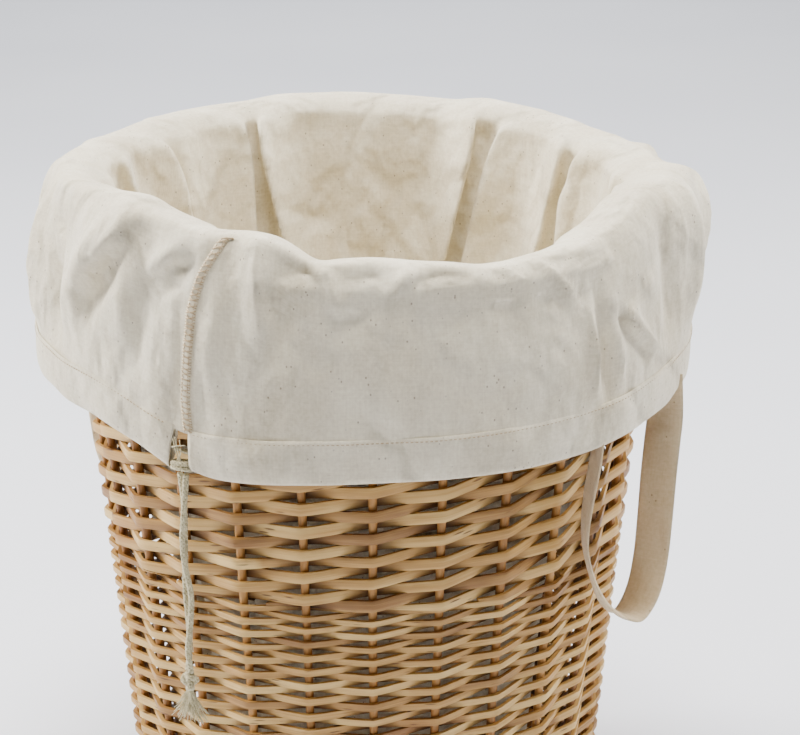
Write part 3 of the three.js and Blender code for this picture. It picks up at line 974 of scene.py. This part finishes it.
def around(knots, bearings, soften=5.0):
    """A smooth value for each bearing, through the given (bearing, value) pairs, right round."""
    knots = sorted(knots)
    x = np.array([b for b, _ in knots], float)
    y = np.array([v for _, v in knots], float)
    x = np.concatenate([x - 360, x, x + 360])
    y = np.concatenate([y, y, y])
    fine = np.arange(-180, 180, 0.5)
    values = np.interp(fine, x, y)
    reach = np.arange(-60, 61) * 0.5
    weights = np.exp(-(reach / soften) ** 2)
    weights /= weights.sum()
    padded = np.concatenate([values[-60:], values, values[:60]])
    values = np.convolve(padded, weights, "valid")
    turned = wrapped(np.asarray(bearings))
    return np.interp(turned, np.append(fine, 180), np.append(values, values[0]))


# Bearing, and height or radius in millimetres.
CREST_HEIGHTS = [
    (-180, 533), (-163, 534), (-157, 531), (-140, 530), (-120, 527), (-100, 528), (-80, 531),
    (-62, 536), (-46, 541), (-38, 533), (-30, 527), (-22, 529), (-17, 527), (-13, 519), (-10, 511),
    (-6, 514), (0, 515), (8, 512), (14, 510), (20, 506), (26, 506), (34, 509), (42, 512), (50, 521),
    (58, 532), (72, 530), (90, 522), (105, 519), (122, 523), (140, 529), (152, 533), (158, 529),
]
CREST_RADII = [
    (-180, 206), (-120, 205), (-90, 204), (-50, 205), (0, 207), (50, 207), (90, 208), (140, 207),
]
SHOULDER_RADII = [
    (-180, 226), (-140, 227), (-100, 222), (-70, 224), (-40, 227), (-12, 224), (0, 226), (25, 224),
    (50, 228), (80, 237), (100, 238), (130, 230),
]
STITCH_HEIGHTS = [
    (-180, 408), (-150, 411), (-120, 416), (-95, 420), (-70, 423), (-50, 421), (-42, 415),
    (-35, 405), (-28, 400), (-20, 401), (0, 405), (20, 405), (38, 406), (50, 410), (62, 415),
    (80, 415), (110, 411), (145, 407),
]

# Each fold: bearing and height (mm) of its middle, lean from upright (degrees, towards +bearing at
# the top), half width and half length (mm), rise (mm, minus for a crease), and how much sharper one
# side is.
CUFF_FOLDS = [
    (-47, 512, 42, 9, 30, 8.0, 0.6), (-55, 488, 34, 13, 46, 5.0, 0.4),
    (-49, 489, 34, 9, 34, -7.0, 0), (-40, 470, 16, 15, 40, -4.5, 0),
    (-66, 470, -4, 12, 50, -6.0, 0), (-76, 480, -8, 12, 46, 7.0, 0.5),
    (-86, 462, 4, 12, 56, -6.0, 0), (-96, 484, 12, 10, 42, 7.0, 0.5),
    (-36, 508, 50, 6, 17, 5.0, 0.6), (-33, 500, 44, 5, 16, -5.0, 0), (-26, 470, 6, 9, 40, 2.0, 0.2),
    (-27.4, 420, -3, 1.8, 24, -1.8, 0), (-31.9, 452, 0, 2.6, 40, -1.8, 0),
    (-18, 497, -8, 7, 30, 6.0, 0.5), (-14.5, 486, 3, 7, 34, -4.0, 0),
    (-11, 507, 0, 5, 15, -5.0, 0.2), (-7, 503, -28, 6, 18, 5.0, 0.4), (-2, 490, 28, 8, 20, -4.6, 0),
    (4, 502, 58, 6, 15, 4.6, 0.5), (9, 497, 52, 6, 16, -4.0, 0), (17, 500, 58, 6, 18, 4.4, 0.4),
    (13, 486, 30, 12, 22, -2.4, 0), (24, 500, -46, 4, 15, 5.5, 0.6),
    (27, 495, -44, 4, 18, -4.0, 0.3), (32, 496, -50, 4, 18, 6.0, 0.6),
    (35, 490, -46, 4, 17, -3.4, 0), (38.2, 450, -3, 2.6, 40, 3.6, 0.8),
    (40.5, 446, -3, 4, 40, -3.4, 0), (44, 442, -8, 3.4, 38, 3.0, 0.6),
    (51, 446, -44, 5, 30, 3.6, 0.6), (47.5, 446, -44, 5, 28, -3.0, 0),
    (60, 470, -10, 11, 44, -5.0, 0), (70, 484, -2, 9, 44, 7.0, 0.4), (80, 468, 6, 11, 52, -5.6, 0),
    (90, 486, 14, 9, 40, 6.4, 0.4), (102, 470, -8, 11, 50, -6.4, 0),
    (112, 482, -6, 9, 46, 7.0, 0.5), (124, 468, 8, 12, 54, -6.0, 0),
    (136, 488, 16, 7, 36, 6.4, 0.5), (147, 470, -6, 12, 52, -5.6, 0),
    (158, 484, -10, 8, 42, 6.8, 0.5), (170, 466, 8, 12, 54, -6.0, 0),
    (-178, 484, 12, 8, 42, 6.4, 0.5), (-167, 466, -6, 12, 54, -5.6, 0),
    (-156, 486, -14, 7, 38, 6.4, 0.5), (-146, 468, 8, 12, 50, -6.0, 0),
    (-134, 484, 12, 8, 44, 6.8, 0.4), (-122, 466, -5, 12, 54, -6.2, 0),
    (-110, 482, -10, 9, 44, 6.8, 0.4),
]

# Each pleat inside: bearing at the crest and at the bag's middle, then half width, depth and lean,
# in millimetres.
BAG_PLEATS = [
    (-158, -176, 12, 20.0, 18.0), (-148, -147, 11, 10.0, -9.0), (-134, -136, 16, 7.0, 5.0),
    (-122, -132, 12, 16.0, -13.0), (-108, -126, 11, 14.0, 11.0), (-90, -94, 18, 12.0, 9.0),
    (-66, -64, 18, 11.0, -8.0), (-36, -40, 20, 12.0, 8.0), (-8, -12, 18, 10.0, -8.0),
    (20, 24, 20, 12.0, 8.0), (46, 42, 18, 10.0, -8.0), (72, 78, 18, 12.0, 9.0),
    (96, 92, 15, 11.0, -8.0), (114, 117, 10, 12.0, 9.0), (124, 141, 10, 15.0, -13.0),
    (139, 156, 11, 11.0, 9.0), (153, 172, 11, 20.0, -17.0), (176, -172, 24, 5.0, 4.0),
]


def small_creases(seed, count, low, high, strength):
    """A table of short folds strewn over a band of heights (mm), like the ones above."""
    random = np.random.default_rng(seed)
    table = []
    for _ in range(count):
        bearing, height = random.uniform(-180, 180), random.uniform(low, high)
        calm = 0.45 if -6 < bearing < 34 and height < 490 else 1.0
        table.append((
            bearing, height, random.normal(0, 34), random.uniform(3.2, 6.0), random.uniform(14, 38),
            random.choice([-1, 1]) * random.uniform(0.7, 1.9) * strength * calm,
            random.uniform(0, 0.8),
        ))
    return table


CUFF_CREASES = small_creases(7, 120, 412, 512, 0.7)
BAG_CREASES = small_creases(17, 110, 300, 505, 1.25)


def mix_profile(knots, share):
    """A smooth run through rows of knots, share 0 to the number of rows less one."""
    last = len(knots) - 1
    i = np.clip(np.floor(share).astype(int), 0, last - 1)
    t = share - i
    a, b, c, d = (knots[np.clip(i + k, 0, last)] for k in (-1, 0, 1, 2))
    t = t.reshape(-1, *[1] * (a.ndim - 1))
    return curve_between(a, b, c, d, t)


def profile_knots(bearings):
    """Radius and height of the cloth, from the stitches up over the crest and down into the bag."""
    crest = around(CREST_HEIGHTS, bearings, 2.2) / 1000
    crest_radius = around(CREST_RADII, bearings) / 1000
    shoulder = around(SHOULDER_RADII, bearings, 7) / 1000
    stitches = around(STITCH_HEIGHTS, bearings, 4) / 1000
    foot = np.full_like(crest, 0.2318)
    middle = (stitches + crest - SHOULDER_DROP) / 2
    inside = stake_radius(0.47) - 0.0205
    rows = [
        (foot, stitches - 0.002),
        ((foot * 0.55 + shoulder * 0.45) + 0.0010, middle),
        (shoulder, crest - SHOULDER_DROP),
        (shoulder - 0.0065, crest - 0.0105),
        (crest_radius + 0.004, crest),
        (np.full_like(crest, inside + 0.0055), crest - 0.0065),
        (np.full_like(crest, inside), crest - 0.028),
        *(
            (np.full_like(crest, stake_radius(z) - BAG_GAP), np.full_like(crest, z))
            for z in (0.40, 0.30)
        ),
    ]
    return np.array([[r, z] for r, z in rows])  # row, (radius, height), bearing


ROW_RUN = [20, 20, 7, 7, 7, 6, 16, 16]  # cloth rows between the knots
KNOT_ROWS = len(ROW_RUN)


def folds_out(bearings, heights, table):
    """How far the cuff's folds stand out at each point, in metres."""
    out = np.zeros_like(heights)
    for bearing, height, lean, width, length, rise, sharp in table:
        across = np.radians(wrapped(bearings - bearing)) * CUFF_RADIUS * 1000
        up = heights * 1000 - height
        slope = math.radians(lean)
        p = across * math.cos(slope) - up * math.sin(slope)
        q = across * math.sin(slope) + up * math.cos(slope)
        side = np.where(p > 0, width * (1 - 0.62 * sharp), width * (1 + 0.3 * sharp))
        ridge = np.exp(-(np.abs(p / side) ** (2 - 1.1 * sharp)))
        out += rise / 1000 * ridge * np.exp(-((q / length) ** 4) * 0.7 - (q / length) ** 2 * 0.3)
    return out


def ripples(bearings, run, seed, scale):
    """Small uneven softness, the same on every run, that closes on itself round the basket."""
    random = np.random.default_rng(seed)
    total = np.zeros(np.broadcast(bearings, run).shape)
    for _ in range(26):
        turns = int(random.integers(4, 34))
        climb = random.normal(0, 0.9)
        phase = random.uniform(0, 2 * math.pi)
        total += np.sin(np.radians(bearings) * turns + run * climb + phase) / (1 + turns / 9)
    return total * scale


def pleats(bearings, heights, strength):
    """Inward and sideways shift of the bag's pleats, in metres."""
    inward = np.zeros_like(heights)
    sideways = np.zeros_like(heights)
    depth_share = np.clip((0.53 - heights) / 0.25, 0, 1.4)
    for top, middle, width, depth, lean in BAG_PLEATS:
        centre = top + wrapped(middle - top) * depth_share
        across = np.radians(wrapped(bearings - centre)) * (BAG_RADIUS * 1000)
        shoulders = 0.35 * np.exp(-((across / (2.1 * width)) ** 2))
        shape = np.exp(-(np.abs(across / width) ** 1.6)) - shoulders
        inward += depth / 1000 * shape
        sideways += lean / 1000 * np.exp(-((across / (0.75 * width)) ** 2))
    return inward * strength, sideways * strength


def cloth_point(bearings, share):
    """Points of the turned-over cloth. Share 0 is the stitch line; KNOT_ROWS is deep in the bag."""
    bearings = np.asarray(bearings, float)
    knots = profile_knots(bearings)
    place = mix_profile(knots, np.asarray(share, float))  # row, 2, bearing
    radius, height = place[:, 0, :], place[:, 1, :]
    rows = np.asarray(share, float)[:, None] + 0 * bearings[None, :]
    turn = bearings[None, :] + 0 * radius
    outside = np.clip((4.1 - rows) / 0.9, 0, 1)
    near_stitches = np.clip(rows / 0.55, 0, 1)
    folds = 1.35 * folds_out(turn, height, CUFF_FOLDS) + folds_out(turn, height, CUFF_CREASES)
    folds = folds * outside * near_stitches
    soft = ripples(turn, rows, 5, 0.00042) * np.clip(rows / 0.5, 0, 1)
    inside = np.clip((rows - 4.6) / 1.6, 0, 1)
    fade_low = np.clip((height - 0.05) / 0.15, 0.25, 1)
    inward, sideways = pleats(turn, height, 1.3 * inside * fade_low)
    radius = radius + folds + soft * (1 - 0.5 * inside) - inward
    radius = radius + folds_out(turn, height, BAG_CREASES) * inside
    widest = stake_radius(height) - LEAST_BAG_GAP
    radius = np.where(rows > 5.5, np.minimum(radius, widest), radius)
    turn = turn + np.degrees(sideways / BAG_RADIUS)
    lift = folds * np.clip((rows - 2.6) / 0.8, 0, 1) * 0.6
    height = height + lift
    # clear of the border's rods, beside them and over them
    below = np.maximum(0, BORDER_HIGH - 0.018 - height) * 0.4
    above = np.maximum(0, height - BORDER_HIGH + 0.004) * 2.5
    least = BORDER_MIDDLE + 0.0148 - below - above
    radius = np.where(rows < 3.9, np.maximum(radius, least), radius)
    reach = np.abs(radius - BORDER_MIDDLE) / 0.0138
    lowest = BORDER_HIGH + 0.0016 - BORDER_HALF_WIDTH * reach**4
    over = (reach < 1) & (rows > 2.4) & (rows < 6.2)
    height = np.where(over, np.maximum(height, lowest), height)
    return at(radius, turn, height)


def sheet_mesh(name, grid, material, run, closed=True, bottom=False, thickness=CLOTH_THICKNESS):
    """A sheet from rows of points, each row going round, and with bottom, a face over the last row.

    run gives each point's place on the flat cloth.
    """
    rows, columns = grid.shape[:2]
    faces = []
    for i in range(rows - 1):
        for j in range(columns if closed else columns - 1):
            here, below, n = i * columns, (i + 1) * columns, (j + 1) % columns
            faces.append((here + j, here + n, below + n, below + j))
    if bottom:
        faces.append(tuple((rows - 1) * columns + j for j in range(columns)))
    cloth = {"cloth": run.reshape(-1, 3)}
    sheet = piece_of(name, grid.reshape(-1, 3), faces, material, attributes=cloth)
    solid = sheet.modifiers.new("thickness", "SOLIDIFY")
    solid.thickness = thickness
    solid.offset = 0.0
    return sheet


def flat_places(across, along):
    """The place on the flat cloth of each point of a grid, from its columns and its rows."""
    run = np.zeros((len(along), len(across), 3))
    run[:, :, 0] = across
    run[:, :, 1] = np.asarray(along)[:, None]
    return run


def flat_run(grid, width):
    """Where each point lies on a cloth that goes right round, of a width when laid flat."""
    steps = np.linalg.norm(np.diff(grid, axis=0), axis=2).mean(axis=1)
    along = np.concatenate([[0], np.cumsum(steps)])
    # the same on both sides of the join
    fold = 1 - np.abs(np.linspace(-1, 1, grid.shape[1], endpoint=False))
    return flat_places(fold * width / 2, along)


COLUMNS = 480
BAG_FOOT, BAG_BOTTOM = 0.034, 0.0262  # heights of the end of its wall and of its bottom


def make_liner():
    bearings = np.arange(COLUMNS) * 360 / COLUMNS - 180
    rows = [np.linspace(i, i + 1, count, endpoint=False) for i, count in enumerate(ROW_RUN)]
    share = np.concatenate([*rows, [KNOT_ROWS]])
    top = cloth_point(bearings, share)
    cuff = sheet_mesh("liner_turned_over", top, CLOTH_FINISH, flat_run(top, UPPER_CLOTH_WIDTH))
    ride_as(settle(cuff), "liner", "liner_cotton", "liner_cuff")
    make_lower_bag(bearings)


def make_lower_bag(bearings):
    """The bag's lower wall and its bottom."""
    coarse = bearings[::2]
    heights = np.linspace(0.312, BAG_FOOT, 56)
    turn = coarse[None, :] + 0 * heights[:, None]
    high = heights[:, None] + 0 * turn
    fade = np.clip((high - 0.03) / 0.16, 0, 1)
    inward, sideways = pleats(turn, high, 1.3 * np.clip((high - 0.05) / 0.15, 0.25, 1))
    slack = np.clip((0.305 - high) / 0.09, 0, 1)
    slack = slack * slack * (3 - 2 * slack)
    radius = stake_radius(high) - 0.0238 - 0.022 * slack - inward
    radius = radius + ripples(turn, high * 8, 9, 0.0008) * fade
    radius = np.minimum(radius, stake_radius(high) - LEAST_BAG_GAP)
    wall = at(radius, turn + np.degrees(sideways / BAG_RADIUS), high)
    floor_rows = []
    edge = wall[-1]
    for share_in in np.linspace(1, 0.04, 22)[1:]:
        rim = edge * [share_in, share_in, 0]
        droop = BAG_BOTTOM + (BAG_FOOT - BAG_BOTTOM) * max(0.0, (share_in - 0.93) / 0.07)
        sag = ripples(coarse[None, :], share_in * 2, 14, 0.0011 * share_in)[0]
        rim[:, 2] = droop + np.abs(sag) * min(1.0, share_in * 2)
        floor_rows.append(rim)
    grid = np.concatenate([wall, np.array(floor_rows)])
    run = flat_run(grid, LOWER_CLOTH_WIDTH)
    bag = sheet_mesh("liner_bag", grid, CLOTH_FINISH, run, bottom=True)
    ride_as(settle(bag), "liner", "liner_cotton", "liner_wall", "liner_bottom")


def hem_section(bearings):
    """The folded hem: out from the stitches, down, under at the foot and back up inside."""
    stitches = around(STITCH_HEIGHTS, bearings, 4) / 1000
    gap = wrapped(bearings - CORD_BEARING)
    foot = stitches - HEM_HEIGHT + 0.002 * np.exp(-((gap / 5.0) ** 2))
    puff = ripples(bearings, 0.3, 21, 0.00035)
    rows = [
        (0.2320, stitches + 0.0012), (0.2328, stitches - 0.0004), (0.2331 + puff, stitches - 0.008),
        (0.2330 + puff, stitches - 0.017), (0.2322 + puff, foot + 0.0028), (0.2298, foot),
        (0.2272, foot + 0.0030), (0.2260, stitches - 0.016), (0.2268, stitches - 0.006),
        (0.2296, stitches + 0.0006),
    ]
    return np.array([[np.broadcast_to(value, bearings.shape) for value in row] for row in rows])


def make_hem():
    start, stop = CORD_BEARING + 1.9, CORD_BEARING + 360 - 0.7
    bearings = np.linspace(start, stop, 620)
    knots = hem_section(bearings)
    share = np.linspace(0, len(knots) - 1, 28)
    place = mix_profile(knots, share)
    ripple = ripples(bearings[None, :], share[:, None] * 0.4, 31, 0.00030)
    # the left end of the hem opens downwards and droops to a corner
    ending = np.clip(1 - (stop - bearings) / 9.0, 0, 1)[None, :] ** 2
    below = np.clip((place[0, 1, :][None, :] - place[:, 1, :]) / HEM_HEIGHT, 0, 1)
    turn = bearings[None, :] - 1.7 * ending * below
    grid = at(place[:, 0, :] + ripple, turn, place[:, 1, :] - 0.0030 * ending * below)
    run = flat_places(bearings * UPPER_CLOTH_WIDTH / 360, share * 0.007)
    hem = sheet_mesh("hem", grid[::-1], CLOTH_FINISH, run[::-1], closed=False, thickness=0.0008)
    ride_as(settle(hem), "liner", "liner_cotton", "hem_channel")


def make_hem_cord():
    """The rest of the drawstring, inside the hem."""
    bearings = np.linspace(0, 360, 240, endpoint=False)
    ring = at(CORD_RADIUS_OUT, bearings, around(STITCH_HEIGHTS, bearings, 4) / 1000 - 0.0165)
    vertices, faces = braid(ring, CORD_DIAMETER * 0.95, BRAID_PITCH, closed=True, strands=6)
    inner = piece_of("drawstring_in_hem_cord", vertices, faces, CORD_FINISH)
    ride_as(inner, "liner", "cotton_cord", "drawstring_in_hem")


make_liner()
make_hem()
make_hem_cord()


# ---------- stitches ----------

STITCH_SIZES = {"Count": 100, "Length": 0.002, "Thickness": 0.0003}


def fill_stitches(bench, given):
    """Short rounded threads laid along a line."""
    line = bench.add("GeometryNodeMeshToCurve", {}, {"Mesh": given["Line"]})
    inputs = {"Curve": line, "Count": given["Count"]}
    spots = bench.add("GeometryNodeResampleCurve", {"mode": "COUNT"}, inputs)
    thread = bench.add("GeometryNodeMeshUVSphere", {}, {"Segments": 6, "Rings": 5, "Radius": 1.0})
    ahead = bench.add("GeometryNodeInputTangent")
    turn = bench.add("FunctionNodeAlignRotationToVector", {"axis": "X"}, {"Vector": ahead})
    size = bench.vector(given["Length"] * 0.5, given["Thickness"] * 0.5, given["Thickness"] * 0.5)
    inputs = {"Points": spots, "Instance": thread, "Rotation": turn, "Scale": size}
    made = bench.add("GeometryNodeInstanceOnPoints", {}, inputs)
    made = bench.add("GeometryNodeRealizeInstances", {}, {"Geometry": made})
    return bench.add("GeometryNodeSetShadeSmooth", {}, {0: made})


def line_mesh(name, points):
    mesh = bpy.data.meshes.new(name)
    edges = [(i, i + 1) for i in range(len(points) - 1)]
    mesh.from_pydata([tuple(p) for p in points], edges, [])
    return mesh


def make_stitches():
    tree = tree_named("stitches", STITCH_SIZES, fill_stitches)
    bearings = np.linspace(CORD_BEARING + 3, CORD_BEARING + 357, 700)
    stitches = around(STITCH_HEIGHTS, bearings, 4) / 1000
    line = at(0.2332 + ripples(bearings, 0.0, 31, 0.0003), bearings, stitches - 0.0009)
    seam = grow(
        "hem_stitches", tree, THREAD_FINISH, line_mesh("hem line", line),
        Count=470, Length=0.0023, Thickness=0.00075,
    )
    ride_as(seam, "liner", "liner_cotton")


make_stitches()


# ---------- seam strip ----------

# Bearing and height (mm).
SEAM_LINE = [
    (-30.2, 402), (-30.6, 423), (-30.1, 456), (-29.5, 483), (-28.1, 503), (-25.2, 524), (-23.6, 531),
]


def make_seam():
    """The overlocked seam up the cuff: a narrow strip with a zigzag of thread over it."""
    heights = np.linspace(SEAM_LINE[0][1], SEAM_LINE[-1][1] - 2, 70)
    bearings = np.interp(heights, [z for _, z in SEAM_LINE], [b for b, _ in SEAM_LINE])
    shares = np.linspace(0, 4.4, 220)
    rows = []
    for bearing, height in zip(bearings, heights):
        sides = bearing + np.array([-0.88, -0.5, 0, 0.5, 0.88])
        column = cloth_point(sides, shares)
        up = column[:180, 2, 2] * 1000
        index = int(np.argmin(np.abs(up - height)))
        rows.append(column[index])
    grid = np.array(rows)
    sideways = grid[:, -1] - grid[:, 0]
    upwards = np.gradient(grid[:, 2], axis=0)
    facing = np.cross(sideways, upwards)
    facing /= np.linalg.norm(facing, axis=1)[:, None]
    crown = np.array([0.0006, 0.0013, 0.0014, 0.0013, 0.0006])
    grid = grid + facing[:, None, :] * crown[None, :, None]
    run = flat_places(np.linspace(0, 0.007, 5), np.linspace(0, 0.13, len(grid)))
    strip = sheet_mesh("seam", grid, CLOTH_FINISH, run, closed=False, thickness=0.0005)
    ride_as(settle(strip), "liner", "liner_cotton", "seam_strip")
    tree = bpy.data.node_groups["stitches"]
    for name, left, right in (("seam_thread_up", 0, 4), ("seam_thread_down", 4, 0)):
        points = []
        for i in range(0, len(grid) - 1, 2):
            lower = grid[i, left] + facing[i] * 0.0004
            upper = grid[i + 1, right] + facing[i] * 0.0004
            points += [lower, (lower + upper) / 2 + facing[i] * 0.0013, upper]
        points = np.array(points)
        shapes = [tube(points[k:k + 3], 0.00042, 5) for k in range(0, len(points), 3)]
        vertices, faces = gathered(shapes)
        thread = piece_of(name, vertices, faces, THREAD_FINISH)
        ride_as(thread, "liner", "liner_cotton")
    for name, side in (("seam_edge_left", 1), ("seam_edge_right", 3)):
        line = line_mesh(name, grid[:, side] + facing * 0.0004)
        edge = grow(name, tree, THREAD_FINISH, line, Count=52, Length=0.0024, Thickness=0.0005)
        ride_as(edge, "liner", "liner_cotton")


make_seam()


# ---------- tape loops ----------

# Bearing from the loop's middle, radius and height (mm), and the bearing that the tape's width
# points along.
TAPE_ROUTE = [
    (-11.6, 222, 398, -48), (-12.2, 222, 370, -50), (-13.6, 221, 340, -52), (-14.4, 221, 318, -52),
    (-13.6, 220, 298, -50), (-11.4, 220, 276, -45), (-8.0, 220, 256, -36), (-4.2, 220, 243, -20),
    (-0.8, 221, 236, -2), (2.6, 222, 241, 8), (5.2, 223, 252, 11), (7.6, 223, 270, 13),
    (9.0, 223, 296, 14), (10.2, 223, 326, 14), (11.8, 223, 350, 15), (13.0, 223, 368, 15),
    (12.6, 222, 398, 15),
]


def make_tape(side):
    middle = LOOP_BEARINGS[side]
    route = np.array(TAPE_ROUTE, float)
    centre = at(route[:, 1] / 1000, middle + route[:, 0], route[:, 2] / 1000)
    steps = 120
    line = smooth_path(centre, steps)
    run = run_along(centre)
    width_bearing = np.interp(np.linspace(0, run[-1], steps), run, route[:, 3])
    reach = np.exp(-((np.arange(-12, 13) / 6) ** 2))
    padded = np.pad(width_bearing, 12, "edge")
    width_bearing = np.convolve(padded, reach / reach.sum(), "valid")
    sideways = at(1.0, middle + width_bearing, 0.0)
    ahead = np.gradient(line, axis=0)
    ahead /= np.linalg.norm(ahead, axis=1)[:, None]
    sideways = sideways - ahead * np.sum(sideways * ahead, axis=1)[:, None]
    sideways /= np.linalg.norm(sideways, axis=1)[:, None]
    facing = np.cross(sideways, ahead)
    across = np.linspace(-0.5, 0.5, 11)
    curl = 0.0011 * (1 - (2 * across) ** 2)
    waver = 0.0009 * np.sin(np.linspace(0, 13, steps))[:, None] * across[None, :] * 2
    grid = (
        line[:, None, :]
        + sideways[:, None, :] * (across * TAPE_WIDTH)[None, :, None]
        + facing[:, None, :] * (curl[None, :] + waver)[:, :, None]
    )
    cloth = flat_places(across * TAPE_WIDTH, np.linspace(0, 0.36, steps))
    name = f"tape_{side}_ribbon"
    tape = settle(sheet_mesh(name, grid, TAPE_FINISH, cloth, closed=False, thickness=0.0011))
    start, end = (tuple(at(TAPE_RADIUS, middle, z)) for z in (TAPE_BEND_HIGH, TAPE_BEND_LOW))
    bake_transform(tape)
    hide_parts(f"tape_loop_{side}")


for loop_side in LOOP_BEARINGS:
    make_tape(loop_side)


# ---------- floor and light ----------

def make_stage():
    reach = 9
    vertices = [(-reach, -reach, 0), (reach, -reach, 0), (reach, reach, 0), (-reach, reach, 0)]

    def paint(bench):
        place = bench.own_place()
        patchy = bench.noise(place, 1.4, 2.0)
        base = bench.ramp(patchy, (0.3, colour(226, 228, 236)), (0.7, colour(232, 234, 241)))
        return {"Base Color": base, "Roughness": 0.7}

    floor = piece_of("floor", vertices, [(0, 1, 2, 3)], finish_named("pale floor", paint))
    world = bpy.data.worlds.new("studio")
    world.use_nodes = True
    background = world.node_tree.nodes["Background"]
    background.inputs["Color"].default_value = (0.97, 0.98, 1.0, 1.0)
    background.inputs["Strength"].default_value = 0.17
    bpy.context.scene.world = world
    for name, place, size, power, tint in (
        ("left window", (-2.1, 0.5, 1.45), 0.8, 116, (1.0, 0.98, 0.95)),
        ("right window", (2.1, 0.7, 1.5), 0.8, 66, (1.0, 0.98, 0.96)),
        ("overhead panel", (0.1, -0.25, 2.7), 1.0, 104, (1.0, 0.98, 0.95)),
        ("back panel", (0.2, 4.4, 3.4), 3.0, 230, (0.98, 0.99, 1.0)),
    ):
        data = bpy.data.lights.new(name, "AREA")
        data.size = size
        data.energy = power
        data.color = tint
        lamp = placed(name, data)
        lamp.location = place
        aimed(lamp, Vector((0, 0, 0.35)) - Vector(place))


make_stage()
